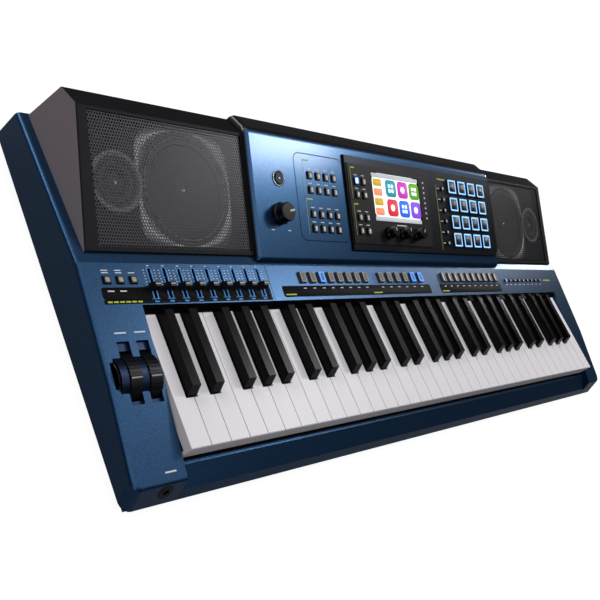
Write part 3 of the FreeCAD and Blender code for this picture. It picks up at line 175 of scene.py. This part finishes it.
def speaker_plastic():
    """Charcoal grained plastic, with the face that looks outwards painted a lighter grey-brown: painted light
    for the lamp that falls on the cheek.
    """
    charcoal = "0c0c0e"
    mat, tree, shade = material("charcoal_speaker_plastic", charcoal, 0.5, specular=0.15)
    facing = add(tree, "ShaderNodeNewGeometry").outputs["True Normal"]
    sideways = add(tree, "ShaderNodeSeparateXYZ", {"Vector": facing}).outputs["X"]
    spot = add(tree, "ShaderNodeTexCoord").outputs["Object"]
    aside = add(tree, "ShaderNodeSeparateXYZ", {"Vector": spot}).outputs["X"]
    outwards = add(tree, "ShaderNodeMath", {0: sideways, 1: aside}, operation="MULTIPLY")
    lit_cheek = add(tree, "ShaderNodeMapRange", {
        "Value": outwards.outputs[0], "From Min": LIT_CHEEK_EDGE[0], "From Max": LIT_CHEEK_EDGE[1]})
    # The grey-brown on the outward cheek is painted light, on the same charcoal plastic.
    colour = add(tree, "ShaderNodeMix", {
        0: lit_cheek.outputs["Result"], 6: linear(charcoal), 7: linear("80777b")}, data_type="RGBA")
    tree.links.new(colour.outputs[2], shade.inputs["Base Color"])
    grain(tree, shade, 7)
    return mat


def perforated_sheet():
    """Painted steel sheet pierced by round holes in staggered rows, open to what lies behind.

    Two grids of holes, half a cell apart, make the rows; the sheet is solid where the nearest middle of
    a hole is further off than the radius.
    """
    mat, tree, shade = material("perforated_grille_steel", "434244", 0.38, metal=0.75)
    spot = add(tree, "ShaderNodeTexCoord").outputs["Object"]
    cells = add(tree, "ShaderNodeMapping", {
        "Vector": spot, "Rotation": (math.radians(-FACES["speaker"][2]), 0.0, 0.0),
        "Scale": (1 / (HOLE_PITCH * MM), 1 / (ROW_PITCH * MM), 0.0)})
    distances = []
    for shift in (0.0, 0.5):
        vector = cells.outputs["Vector"]
        for step, values in (
            ("ADD", {1: (shift, shift, 0.0)}),
            ("FRACTION", {}),
            ("SUBTRACT", {1: (0.5, 0.5, 0.0)}),
            ("MULTIPLY", {1: (HOLE_PITCH, ROW_PITCH, 0.0)}),
        ):
            moved = add(tree, "ShaderNodeVectorMath", {0: vector, **values}, operation=step)
            vector = moved.outputs["Vector"]
        far = add(tree, "ShaderNodeVectorMath", {0: vector}, operation="LENGTH")
        distances.append(far.outputs["Value"])
    nearest = add(tree, "ShaderNodeMath", {0: distances[0], 1: distances[1]}, operation="MINIMUM")
    solid = add(tree, "ShaderNodeMath", {0: nearest.outputs[0], 1: HOLE_RADIUS}, operation="GREATER_THAN")
    tree.links.new(solid.outputs[0], shade.inputs["Alpha"])
    return mat


LOOK = {}
# Deep blue lacquer of the case, and a darker one on the raised panel.
LOOK["metallic_blue"] = lacquer("blue_metallic_lacquer", "07213a", "1a527e", 0.32, 0.36)
LOOK["navy_panel"] = lacquer("navy_metallic_lacquer", "02070f", "051222", 0.28, 0.15)
# Polished acrylic strip above the keys: a mirror-dark line.
LOOK["gloss_black"] = material("polished_black_plastic", "050506", 0.12, specular=0.3)[0]
# Grained finishes: slot, material, colour, roughness and bumps to the centimetre.
for slot_name, words, colour, rough, bumps in (
    # ABS textured in the mould: an even, dull black.
    ("matte_black", "grained_black_plastic", "111214", 0.5, 9),
    # Moulded chassis plastic: flat mid grey with no shine.
    ("chassis_grey", "moulded_grey_plastic", "8c8c88", 0.6, 5),
    # Nylon socket bodies: near black, with faint highlights on the rims.
    ("socket_black", "black_socket_plastic", "0e0e10", 0.45, 9),
    # Pressed paper cones: soft and fibrous, without highlights.
    ("cone_black", "grey_paper_cone", "5d5a58", 0.75, 4),
    # Satin ABS caps: small soft highlights along their edges.
    ("button_dark", "dark_button_plastic", "0d0c0d", 0.4, 12),
    ("button_grey", "warm_grey_button_plastic", "4d4946", 0.4, 12),
    # Silicone pads: dark, with a soft sheen.
    ("pad_dark", "soft_pad_silicone", "14141a", 0.45, 12),
    # Rubber ribbed in the mould: black, with a dull light on each rib.
    ("wheel_dark", "ribbed_black_rubber", "070708", 0.38, 12),
    # Cast rubber feet: dead black.
    ("foot_rubber", "foot_rubber", "111111", 0.8, 9),
    # Solder mask on glass fibre: an even green that waves a little.
    ("board_green", "solder_mask_green", "1e5a38", 0.4, 3),
    # Pressed wool felt: deep red and fuzzy.
    ("felt_red", "red_felt", "7a1f22", 0.95, 9),
):
    mat, tree, shade = material(words, colour, rough, specular=0.35)
    grain(tree, shade, bumps)
    LOOK[slot_name] = mat
LOOK["speaker_grey"] = speaker_plastic()
LOOK["grille_black"] = perforated_sheet()
# Smooth moulded key tops: warm white with a soft shine, and black caps with a narrow one.
LOOK["key_white"] = material("white_key_plastic", "e8e2e2", 0.35, specular=0.25)[0]
LOOK["key_black"] = material("black_key_plastic", "050506", 0.26, specular=0.09)[0]
# Bare rolled spring steel, bright, and blackened screw steel, dark with bright edges.
LOOK["spring_steel"] = material("spring_steel", "a9aaac", 0.35, metal=1.0)[0]
LOOK["screw_steel"] = material("blackened_screw_steel", "55565a", 0.4, metal=1.0)[0]
# Dark glass of the screen, and the satin plastic frame round it.
LOOK["screen_blue"] = material("screen_glass", "101214", 0.12, coat=0.3)[0]
LOOK["bezel_brown"] = material("dark_display_bezel", "121110", 0.4, specular=0.12)[0]
# Polished black knobs that catch small highlights.
knob_black = material("polished_knob_plastic", "060607", 0.22, specular=0.35)[0]
# Deep navy lacquer on the wheels' barrel, with a clear shine.
barrel_navy = lacquer("navy_barrel_lacquer", "051430", "103463", 0.2, 0.5)
BY_NODE = {
    "console_housing": console_lacquer(),
    "volume_knob": knob_black,
    "control_dial_1": knob_black,
    "control_dial_2": knob_black,
    "control_dial_3": knob_black,
    "wheel_barrel": barrel_navy,
}

for part in frame["record"]["subparts"]:
    thing = nodes[part["node"]]
    thing.data.materials.clear()
    thing.data.materials.append(BY_NODE.get(part["node"], LOOK[part["material_slot"]]))

# Screen-printed ink: flat, crisp marks on the dark faces.
ink_white = material("white_print", "d8dadb", 0.6)[0]
ink_lime = material("lime_print", "b9c22e", 0.6)[0]
ink_black = material("black_print", "060607", 0.6, specular=0.1)[0]
# Dark hairlines: painted shade along the moulded groove round the tone buttons, and a dark seam in the strip.
groove_shade_and_seam = material("painted_groove_shade_and_seam", "050a12", 0.6, specular=0.2)[0]
# Lacquered trim round the slots: a lighter blue that glints.
line_blue = lacquer("blue_slot_trim", "2b5f93", "5793c8", 0.4, 0.2)
# Polished ring, cast alloy and plain plastic: a sharp, a broad and no metal shine.
chrome = material("polished_ring_metal", "8d98a3", 0.2, metal=1.0)[0]
cast_metal = material("cast_driver_frame", "d9d8d5", 0.4, metal=0.7)[0]
ring_grey = material("grey_ring_plastic", "a9aeb5", 0.6)[0]
# Lamps behind clear plastic: they light up by themselves. The white one also lights the painted glints in the
# speaker drivers' middles, which are no lamps.
glow_blue = material("blue_lamp", "2f7fe6", 0.4, emit=1.5)[0]
glow_pale = material("pale_blue_lamp", "86bff2", 0.4, emit=0.85)[0]
glow_white_and_glint = material("white_lamp_and_painted_glint", "eef3f8", 0.4, emit=0.7)[0]
# Satin faces let into the buttons, pads and barrel: pale, smoky, dark and polished. On the tone and menu
# buttons, the pale faces are partly painted highlight.
pale_face = material("pale_button_face", "cfc6bb", 0.4)[0]
smoke_face = material("smoke_button_face", "a39c95", 0.4)[0]
pad_face = material("pad_face_silicone", "120d11", 0.4, specular=0.3)[0]
gloss_cap = material("polished_black_cap", "040405", 0.15, specular=0.4)[0]


# Surface details: thin parametric pieces that ride the bodies they belong to.

def rounded(width, height, corner, count=24):
    """Outline of a rounded rectangle: each corner's centre plus its radius turned through the angle."""
    angle = (np.arange(count) + 0.5) * 2 * np.pi / count
    corner = min(corner, width / 2, height / 2)
    x = np.sign(np.cos(angle)) * (width / 2 - corner) + corner * np.cos(angle)
    y = np.sign(np.sin(angle)) * (height / 2 - corner) + corner * np.sin(angle)
    return np.stack([x, y], -1)


def grid_piece(name, body, grids, look, ring=False):
    """A closed mesh of grids of points in metres, joined round their last axis, that rides a body.

    A ring's last row joins its first. Any other grid has its first and last rows filled flat.
    """
    grids = np.asarray(grids, float)
    count, rows, columns = grids.shape[:3]
    index = np.arange(count * rows * columns).reshape(count, rows, columns)
    lower = index if ring else index[:, :-1]
    upper = np.roll(index, -1, axis=1) if ring else index[:, 1:]
    quads = np.stack([lower, np.roll(lower, -1, axis=2), np.roll(upper, -1, axis=2), upper], -1)
    ends = np.empty((0, columns), int) if ring else np.concatenate([index[:, 0, ::-1], index[:, -1]])
    sides = np.concatenate([np.full(quads.size // 4, 4), np.full(len(ends), columns)])
    loops = np.concatenate([quads.ravel(), ends.ravel()])
    mesh = bpy.data.meshes.new(name)
    mesh.vertices.add(grids.size // 3)
    mesh.vertices.foreach_set("co", grids.ravel())
    mesh.loops.add(len(loops))
    mesh.loops.foreach_set("vertex_index", loops)
    mesh.polygons.add(len(sides))
    mesh.polygons.foreach_set("loop_start", np.cumsum(sides) - sides)
    mesh.update(calc_edges=True)
    mesh.validate()
    mesh.materials.append(look)
    thing = bpy.data.objects.new(name, mesh)
    bpy.context.scene.collection.objects.link(thing)
    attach(thing, body)


def raised(face, places, rows, heights):
    """Rings of outline points set at each place of a face, each ring at its own height."""
    places = np.asarray(places, float)
    rows = np.stack(rows)
    u = places[:, 0, None, None] + rows[None, :, :, 0]
    v = places[:, 1, None, None] + rows[None, :, :, 1]
    return on_face(face, u, v, np.asarray(heights, float)[None, :, None])


def caps(face, places, size, corner, foot, top, bevel=0.05):
    """Flat caps: a rounded outline raised from foot to top, drawn in by the bevel at the top."""
    outer = rounded(*size, corner)
    inner = rounded(size[0] - 2 * bevel, size[1] - 2 * bevel, max(corner - bevel, 0.01))
    return raised(face, places, [outer, outer, inner], [foot, top - bevel, top])


def print_on(name, face, places, size, look, thick=0.12, foot=0.0, body="frame"):
    """Print, labels and button faces: flat caps whose corners are a quarter of their smaller side."""
    grid_piece(name, body, caps(face, places, size, min(size) / 4, foot, foot + thick, 0.03), look)


def outline_on(name, face, places, size, corner, border, foot, top, look, body="frame"):
    """Raised outlines: the outer rounded outline, up, across to the inner one and down again."""
    outer = rounded(*size, corner)
    inner = rounded(size[0] - 2 * border, size[1] - 2 * border, max(corner - border, 0.05))
    grids = raised(face, places, [outer, outer, inner, inner], [foot, top, top, foot])
    grid_piece(name, body, grids, look, ring=True)


def pointer_on(knob, name, middle, near, far, degrees, width, foot, top):
    """A knob's pointer: a rounded bar, each point carried out along the angle and across it."""
    outline = rounded(far - near, width, width / 3, 12)
    rows = np.stack([outline, outline])[None]
    angle = np.radians(degrees)
    along = (near + far) / 2 + rows[..., 0]
    across = rows[..., 1]
    u = middle[0] + along * np.sin(angle) - across * np.cos(angle)
    v = middle[1] + along * np.cos(angle) + across * np.sin(angle)
    grid_piece(name, knob, on_face("console", u, v, np.array([foot, top])[None, :, None]), pale_face)


def field_on(name, face, left, right, low, high):
    """A black label field between its four edges."""
    middle = ((left + right) / 2, (low + high) / 2)
    print_on(name, face, [middle], (right - left, high - low), ink_black, 0.1)


def rows_of(first, across, count, rows):
    """Places of a block of buttons, row by row."""
    return [(first + across * i, row) for row in rows for i in range(count)]


# Middles of the controls on their faces, in millimetres.
ROWS = (100.4, 83.5, 55.2, 38.4)
TONE = rows_of(-157.0, 14.5, 4, ROWS)
MENU = rows_of(-75.0, 14.7, 2, ROWS)
PADS = rows_of(149.8, 26.8, 4, [35.0 + 25.6 * i for i in range(4)])
BANK = [(124.3, 29.6 + 15.5 * i) for i in range(6)]
POWER = (-210.0, 92.0)
VOLUME = (-214.0, 52.0)
DIALS = [(13.0 + 31.0 * (i - 1), 38.0) for i in range(3)]
SCREEN = (-41.7 + 105.8 / 2, 53.2 + 62.7 / 2)
ORGAN = [(-447.7 + 14.2 * i, -17.0) for i in range(3)]
SLIDERS = [(-398.9 + 17.6 * i, -20.0) for i in range(9)]
RHYTHM = [(-190.5 + 16.2 * i, -14.8) for i in range(8)]
START = [(-44.4 + 17.4 * i, -14.8) for i in range(6)]
MEMORY = [(101.2 + 16.1 * i, -14.8) for i in range(10)]
MODE = [(278.2 + 14.35 * i, -20.0) for i in range(9)]
SOCKETS = [150.0 - 34.0 * i for i in range(5)]
# The speakers' middles: distance from the instrument's middle, and height up the face.
WOOFER = (334.0, 66.0)
TWEETER = (417.5, 66.0)
# The wheels' axle by depth and height, and the wheels' middles along it.
AXLE = (-85.0, 33.5)
WHEELS = {"pitch_bend_wheel": -448.67, "modulation_wheel": -428.03}
WHEEL_RADIUS = 24.0
# Heights of the controls' tops above their face; what is let into a top starts a little below it.
PANEL_TOP = 3.0
BEZEL_TOP = 4.2
BUTTON_TOP = 2.0
TALL_TOP = 3.0
MENU_TOP = 6.2
PAD_TOP = 5.0
SLIDER_TOP = 8.4
VOLUME_TOP = 14.5
DIAL_TOP = 17.7

# Strip, left: black label field round the slider slots, blue slot trims, ticks and marks.
field_left, field_right = -456.0, -247.0
slot_sides = [x + side * 3.4 for x, v in SLIDERS for side in (-1, 1)]
field_edges = [field_left] + slot_sides + [field_right]
for i in range(0, len(field_edges), 2):
    left, right = field_edges[i:i + 2]
    field_on("slider_label_field_%d" % (i // 2 + 1), "strip", left, right, -36.0, -24.0)
field_on("slider_label_bar", "strip", field_left, field_right, -40.0, -36.0)
outline_on("slot_trims", "strip", SLIDERS, (6.6, 33.0), 1.0, 1.7, 0.0, 0.3, line_blue)
ticks = [(x + side * 6.2, -7.0 - 2.9 * i) for x, v in SLIDERS for side in (-1, 1) for i in range(6)]
print_on("slider_ticks", "strip", ticks, (2.0, 0.6), ink_white, 0.14)
print_on("slider_head_marks", "strip", [(x, -2.4) for x, v in SLIDERS], (3.0, 0.9), ink_white)
print_on("slider_foot_marks", "strip", [(x, -38.0) for x, v in SLIDERS], (5.4, 2.2), line_blue, 0.16)
marks = [(-450.0 + 6.4 * i, -38.0) for i in range(6)]
print_on("drawbar_mark", "strip", marks, (5.0, 1.6), ink_lime, 0.16)
marks = [(u, v + 7.2) for u, v in ORGAN] + [(u, v + 9.6) for u, v in ORGAN[:2]]
print_on("organ_marks", "strip", marks, (7.0, 1.0), ink_white)
print_on("organ_foot_marks", "strip", [(-446.0, -27.6), (-433.0, -27.6)], (7.0, 1.2), ink_white, 0.16)
print_on("organ_faces", "strip", ORGAN, (4.6, 4.6), smoke_face, 0.1, BUTTON_TOP - 0.05, "organ_buttons")
for i, (x, v) in enumerate(SLIDERS, start=1):
    print_on("slider_line_%d" % i, "strip", [(x, -24.0)], (5.8, 0.9), pale_face, 0.1, SLIDER_TOP - 0.02,
             "drawbar_slider_%d" % i)

# Strip, middle and right: black label strips, marks, lit rings and button faces.
for name, left, right in (("rhythm", -228.0, 62.0), ("memory", 86.0, 256.0)):
    field_on(name + "_label_field", "strip", left, right, -37.5, -24.4)
marks = [(u, -27.4) for u, v in RHYTHM + START + MEMORY]
print_on("button_marks", "strip", marks, (5.0, 1.0), ink_white, 0.16)
marks = [(u, -34.6) for u in (-216.0, -58.0, 98.0)]
print_on("strip_group_marks", "strip", marks, (17.0, 1.5), ink_lime, 0.16)
print_on("mode_marks", "strip", [(u, -26.4) for u, v in MODE], (6.0, 0.9), ink_white)
print_on("end_marks", "strip", [(412.0 + 6.6 * i, -19.5) for i in range(4)], (5.0, 2.0), ink_lime)
print_on("strip_seam", "strip", [(-244.0, -20.5)], (0.8, 40.0), groove_shade_and_seam, 0.06)
for name, places in (("rhythm", RHYTHM), ("start", START), ("memory", MEMORY)):
    outline_on(name + "_edges", "strip", places, (8.2, 12.0), 1.2, 1.1, TALL_TOP - 0.1, TALL_TOP + 0.08,
               smoke_face, name + "_buttons")
print_on("memory_faces", "strip", [(u - 1.3, v) for u, v in MEMORY], (2.6, 9.2), pale_face, 0.08,
         TALL_TOP - 0.03, "memory_buttons")
for name, places in (("rhythm", RHYTHM[2:3]), ("start", START[4:])):
    outline_on(name + "_lamps", "strip", places, (8.8, 12.8), 1.0, 1.8, TALL_TOP - 0.1, TALL_TOP + 0.14,
               glow_blue, name + "_buttons")
print_on("mode_faces", "strip", MODE[1:], (2.6, 2.6), pale_face, 0.08, BUTTON_TOP - 0.03, "mode_buttons")
outline_on("mode_lamp", "strip", MODE[:1], (4.9, 4.9), 2.45, 1.0, BUTTON_TOP - 0.1, BUTTON_TOP + 0.1,
           glow_pale, "mode_buttons")

# Console, left: painted shade of the groove round the tone buttons, power ring, knob marks.
# The groove is a dark raised line, with no recess: painted shade.
outline_on("tone_groove_shade", "console", [(-137.5, 74.8)], (89.0, 102.5), 10.0, 1.0, 0.0, 0.08, groove_shade_and_seam)
# The pale faces sit a little right of and below the middle: partly the caps' pale tops, partly a painted
# highlight.
print_on("tone_faces_and_highlights", "console", [(u + 0.5, v - 0.3) for u, v in TONE], (3.4, 5.8), pale_face, 0.1,
         BUTTON_TOP - 0.04, "tone_buttons")
print_on("tone_marks", "console", [(u, v + 7.6) for u, v in TONE], (6.4, 1.0), ink_white)
brackets = [(-167.0, 97.0), (-167.0, 51.5)]
print_on("tone_brackets", "console", brackets, (0.5, 40.0), ink_lime)
print_on("tone_group_marks", "console", [(u + 6.0, v + 21.0) for u, v in brackets], (11.0, 1.5), ink_lime)
outline_on("power_ring", "console", [POWER], (18.4, 18.4), 9.2, 1.5, 0.0, 1.0, chrome)
print_on("power_dot", "console", [POWER], (1.8, 1.8), glow_pale, 0.1, BUTTON_TOP - 0.03, "power_button")
print_on("volume_marks", "console", [(-227.0, 34.0), (-201.0, 34.0)], (5.0, 1.2), ink_white)
pointer_on("volume_knob", "volume_pointer", VOLUME, 1.5, 9.4, 76.0, 2.4, VOLUME_TOP - 0.08, VOLUME_TOP + 0.25)
for i, middle in enumerate(DIALS):
    pointer_on("control_dial_%d" % (i + 1), "dial_pointer_%d" % (i + 1), middle, 0.8, 5.6,
               -30.0 + 25.0 * i, 1.3, DIAL_TOP - 0.06, DIAL_TOP + 0.15)

# Console, display: menu faces, partly painted highlight, and marks.
# As on the tone buttons, the pale faces are partly the caps' tops and partly a painted highlight.
print_on("menu_faces_and_highlights", "console", [(u + 0.5, v - 0.3) for u, v in MENU[1:]], (3.4, 5.8), pale_face, 0.1,
         MENU_TOP - 0.04, "menu_buttons")
print_on("menu_lamp", "console", MENU[:1], (4.6, 6.4), glow_white_and_glint, 0.1, MENU_TOP - 0.04, "menu_buttons")
outline_on("menu_lamp_ring", "console", MENU[:1], (7.0, 8.4), 1.6, 1.1, MENU_TOP - 0.1, MENU_TOP + 0.1,
           glow_blue, "menu_buttons")
print_on("menu_marks", "console", [(u, v + 7.6) for u, v in MENU], (6.4, 1.0), ink_white, 0.1, BEZEL_TOP)
brackets = [(-84.0, 97.0), (-84.0, 51.5)]
print_on("menu_brackets", "console", brackets, (0.5, 38.0), ink_lime, 0.1, BEZEL_TOP)
marks = [(u + 4.5, v + 20.0) for u, v in brackets]
print_on("menu_group_marks", "console", marks, (8.0, 1.5), ink_lime, 0.1, BEZEL_TOP)
print_on("dial_marks", "console", [(13.0, 48.8)], (22.0, 1.2), ink_white, 0.1, BEZEL_TOP)
marks = [(75.0, 62.0 + 7.0 * i) for i in range(8)]
print_on("side_marks", "console", marks, (3.0, 2.4), ink_white, 0.1, BEZEL_TOP)

# Console, pads: dark faces in wide lit outlines, bank marks.
print_on("pad_faces", "console", PADS, (15.6, 14.6), pad_face, 0.1, PAD_TOP - 0.04, "phrase_pads")
outline_on("pad_outlines", "console", PADS, (20.2, 19.2), 1.8, 2.2, PAD_TOP - 0.1, PAD_TOP + 0.15,
           glow_pale, "phrase_pads")
print_on("pad_group_mark", "console", [(125.0, 120.5)], (20.0, 1.5), ink_lime, 0.1, PANEL_TOP)
print_on("bank_bracket", "console", [(109.0, 66.0)], (0.5, 92.0), ink_lime, 0.1, PANEL_TOP)
print_on("bank_marks", "console", [(u - 9.5, v) for u, v in BANK], (6.4, 1.0), ink_white, 0.1, PANEL_TOP)
print_on("bank_faces", "console", BANK, (3.6, 3.6), smoke_face, 0.1, PAD_TOP - 0.04, "pad_bank_buttons")

# Touch screen: a pale page with a column of bars and six tiles, each with a plain figure.
PAGE_TOP = PANEL_TOP + 0.08
FIGURE = (PANEL_TOP + 0.1, PANEL_TOP + 0.24)
page = material("screen_page", "f2f2f4", 0.45, specular=0.1, emit=0.7)[0]
page_bar = material("screen_bar", "b4b6ba", 0.45, specular=0.1, emit=0.5)[0]
print_on("screen_page", "console", [SCREEN], (105.0, 62.0), page, 0.1, PANEL_TOP)
bars = [(SCREEN[0], SCREEN[1] + 27.5), (SCREEN[0], SCREEN[1] - 28.4)]
print_on("screen_bars", "console", bars, (104.0, 5.6), page_bar, 0.08, PAGE_TOP)
tile_colours = ("2f8f9c", "c33ab2", "5f9f2c", "d23440", "2b6be0", "8450cf")
for i, colour in enumerate(tile_colours, start=1):
    row, column = divmod(i - 1, 3)
    middle = (SCREEN[0] - 12.0 + 26.5 * column, SCREEN[1] + 12.4 - 25.2 * row)
    lit = material("screen_tile_%d" % i, colour, 0.45, specular=0.1, emit=0.55)[0]
    print_on("screen_tile_%d" % i, "console", [middle], (23.5, 22.4), lit, 0.08, PAGE_TOP)
    if i % 2:
        corners = [(middle[0] + x, middle[1] + y) for x in (-3.2, 3.2) for y in (-3.2, 3.2)]
        figure = caps("console", corners, (4.6, 4.6), 0.6, *FIGURE)
    else:
        figure = caps("console", [middle], (9.0, 9.0), 4.5, *FIGURE)
    grid_piece("screen_figure_%d" % i, "frame", figure, glow_white_and_glint)
for i, colour in enumerate(("c3a021", "f28a63", "c3a021", "f28a63"), start=1):
    lit = material("screen_list_%d" % i, colour, 0.45, specular=0.1, emit=0.55)[0]
    spot = (SCREEN[0] - 40.5, SCREEN[1] + 18.4 - 12.5 * (i - 1))
    print_on("screen_list_%d" % i, "console", [spot], (18.0, 9.4), lit, 0.08, PAGE_TOP)

# Speakers: the drivers' cast frames behind the sheet, with a flat edge on the baffle and a sloping top.
FRAME_FOOT = -8.9
FRAME_TOP = -6.3
FRAME_BORE = 57.6
FRAME_HALF = 59.5
ROUND = 96
angle = (np.arange(ROUND) + 0.5) * 2 * np.pi / ROUND
circle = np.stack([np.cos(angle), np.sin(angle)], -1)
# A square with full corners: its radius is the half side over the fifth-power mean of sine and cosine.
square = circle * FRAME_HALF / ((np.abs(circle) ** 5).sum(-1, keepdims=True) ** 0.2)
slope = FRAME_TOP - (np.linalg.norm(square, axis=-1) - FRAME_BORE) * math.tan(math.radians(6.5))
foot = np.full(ROUND, FRAME_FOOT)
heights = np.stack([foot, slope, np.full(ROUND, FRAME_TOP), foot])
rows = np.stack([square, square, circle * FRAME_BORE, circle * FRAME_BORE])
for side, sign in (("left", 1.0), ("right", -1.0)):
    woofer = (sign * -WOOFER[0], WOOFER[1])
    tweeter = (sign * -TWEETER[0], TWEETER[1])
    cast = on_face("speaker", woofer[0] + rows[..., 0], woofer[1] + rows[..., 1], heights)
    grid_piece(side + "_woofer_frame", "frame", [cast], cast_metal, ring=True)
    for name, middle, radii, levels, look in (
        ("_woofer_rim", woofer, (52.6, 52.2, 51.4, 51.0), (-5.9, -5.4, -5.4, -5.9), smoke_face),
        ("_tweeter_ring", tweeter, (29.6, 29.2, 27.0, 24.8, 24.4), (-5.95, -4.7, -4.2, -4.7, -5.95),
         ring_grey),
    ):
        ring = raised("speaker", [middle], [circle * r for r in radii], levels)
        grid_piece(side + name, "frame", ring, look, ring=True)
    # Painted highlights: small white discs that glow in the middle of each driver, standing for the glint on
    # its cap.
    print_on(side + "_woofer_glint", "speaker", [woofer], (2.6, 2.6), glow_white_and_glint, 0.6, -10.9)
    print_on(side + "_tweeter_glint", "speaker", [tweeter], (2.2, 2.2), glow_white_and_glint, 0.6, -7.4)

# Back: a mark over each socket.
print_on("socket_marks", "back", [(x, -95.0) for x in SOCKETS], (9.0, 1.4), ink_white)

# Left block: marks by the wheels and the headphone socket.
print_on("wheel_marks", "deck", [(-448.7, 46.0), (-428.0, 46.0)], (12.0, 1.4), ink_white)
print_on("phones_mark", "apron", [(-433.0, -78.0)], (12.0, 1.5), ink_white)
# A line across each wheel's rim: an outline bent round the axle, its height along the rim made an angle.
outline = rounded(11.0, 1.4, 0.5, 12)
rows = np.stack([outline, outline])
lift = np.array([WHEEL_RADIUS - 0.2, WHEEL_RADIUS + 0.12])[:, None]
angle = np.radians(18.0) - rows[..., 1] / WHEEL_RADIUS
depth = AXLE[0] - lift * np.sin(angle)
height = AXLE[1] + lift * np.cos(angle)
for name, middle in WHEELS.items():
    line = np.stack([middle + rows[..., 0], depth, height], -1) * MM
    grid_piece(name + "_line", name, [line], smoke_face)
# The barrel's end: circles about the axle, the last one drawn in by a bevel.
angle = (np.arange(64) + 0.5) * 2 * np.pi / 64
reach = np.array([19.8, 19.8, 19.0])[:, None]
along = np.array([-463.0, -463.5, -463.9])[:, None] + 0.0 * angle
disc = np.stack([along, AXLE[0] + reach * np.cos(angle), AXLE[1] - reach * np.sin(angle)], -1) * MM
grid_piece("barrel_end", "frame", [disc], gloss_cap)

# Stage: a pale floor and soft studio light.
# The floor is white where it is seen, takes the shadow, and is only faintly mirrored in the dark lacquer.
FLOOR_SEEN = 0.93
FLOOR_MIRRORED = 0.06
FLOOR_REACH = 8
FLOOR_HEIGHT = -0.0005
floor_look, tree, shade = material("pale_studio_floor", "6c6c6c", 0.9, specular=0.0)
shade.inputs["Emission Color"].default_value = linear("ffffff")
rays = add(tree, "ShaderNodeLightPath").outputs
seen = add(tree, "ShaderNodeMath", {
    0: rays["Is Camera Ray"], 1: rays["Is Transmission Ray"]}, operation="MAXIMUM")
white = add(tree, "ShaderNodeMath", {0: seen.outputs[0], 1: FLOOR_SEEN}, operation="MULTIPLY")
mirrored = add(tree, "ShaderNodeMath", {0: rays["Is Glossy Ray"], 1: FLOOR_MIRRORED}, operation="MULTIPLY")
glow = add(tree, "ShaderNodeMath", {0: white.outputs[0], 1: mirrored.outputs[0]}, operation="MAXIMUM")
tree.links.new(glow.outputs[0], shade.inputs["Emission Strength"])
mesh = bpy.data.meshes.new("floor")
turns = ((-1, -1), (1, -1), (1, 1), (-1, 1))
corners = [(x * FLOOR_REACH, y * FLOOR_REACH, FLOOR_HEIGHT) for x, y in turns]
mesh.from_pydata(corners, [], [(0, 1, 2, 3)])
mesh.materials.append(floor_look)
thing = bpy.data.objects.new("floor", mesh)
bpy.context.scene.collection.objects.link(thing)

world = bpy.data.worlds.new("studio")
bpy.context.scene.world = world
world.use_nodes = True
sky = world.node_tree
sky.nodes.clear()
sky_out = add(sky, "ShaderNodeOutputWorld")
# A dome that is bright overhead and dim towards the horizon, and plain white where the camera sees it.
spot = add(sky, "ShaderNodeTexCoord").outputs["Generated"]
up = add(sky, "ShaderNodeSeparateXYZ", {"Vector": spot}).outputs["Z"]
level = add(sky, "ShaderNodeMapRange", {
    "Value": up, "From Min": 0.56, "From Max": 1.0, "To Min": 0.02, "To Max": 1.45})
dome = add(sky, "ShaderNodeBackground", {"Strength": level.outputs["Result"], "Color": linear("f4f7ff")})
plain = add(sky, "ShaderNodeBackground", {"Color": linear("ffffff"), "Strength": 1.0})
rays = add(sky, "ShaderNodeLightPath").outputs
seen = add(sky, "ShaderNodeMath", {
    0: rays["Is Camera Ray"], 1: rays["Is Transmission Ray"]}, operation="MAXIMUM")
pick = add(sky, "ShaderNodeMixShader", {
    0: seen.outputs[0], 1: dome.outputs["Background"], 2: plain.outputs["Background"]})
sky.links.new(pick.outputs["Shader"], sky_out.inputs["Surface"])

# Soft rectangular lamps: name, place, what each is turned to, size in metres, and power in watts.
for name, spot, target, size, power in (
    ("key_light", (0.965, 0.22, 1.24), (-0.2, 0.05, 0.08), (0.26, 0.3), 5.6),
    ("side_light", (-1.1, 0.9, 0.7), (-0.45, 0.12, 0.08), (0.5, 0.5), 4.0),
    ("ledge_light", (1.72, 0.45, 0.58), (0.38, 0.02, 0.06), (0.12, 0.16), 3.0),
    ("back_light", (-0.7, 1.7, 0.7), (0.0, 0.18, 0.06), (0.6, 0.6), 4.0),
    ("fill_light", (-1.2, -1.3, 0.6), (-0.3, 0.0, 0.05), (0.7, 0.7), 3.0),
):
    lamp = bpy.data.lights.new(name, "AREA")
    lamp.shape = "RECTANGLE"
    lamp.size, lamp.size_y = size
    lamp.energy = power
    thing = bpy.data.objects.new(name, lamp)
    bpy.context.scene.collection.objects.link(thing)
    thing.location = spot
    thing.rotation_mode = "QUATERNION"
    thing.rotation_quaternion = (Vector(target) - Vector(spot)).to_track_quat("-Z", "Y")

# Camera: focal length and frame in pixels, its own axes in the shared frame, and its place in metres.
FOCAL_PIXELS = 811.79
FRAME_PIXELS = 600.0
SENSOR = 36.0
CAMERA_PLACE = (-0.86351, -0.30161, 0.57428)
camera = bpy.data.cameras.new("camera")
camera.sensor_width = SENSOR
camera.lens = FOCAL_PIXELS / FRAME_PIXELS * SENSOR
camera.clip_start = 0.01
camera.clip_end = 100.0
view = bpy.data.objects.new("camera", camera)
bpy.context.scene.collection.objects.link(view)
bpy.context.scene.camera = view
right = Vector((0.66564, -0.37991, 0.64233))
down = Vector((-0.02079, -0.86982, -0.49292))
ahead = Vector((0.74598, 0.31475, -0.58689))
turn = Matrix((right, -down, -ahead)).transposed()
view.matrix_world = Matrix.Translation(CAMERA_PLACE) @ turn.to_4x4()

bpy.context.scene.view_settings.view_transform = "Standard"
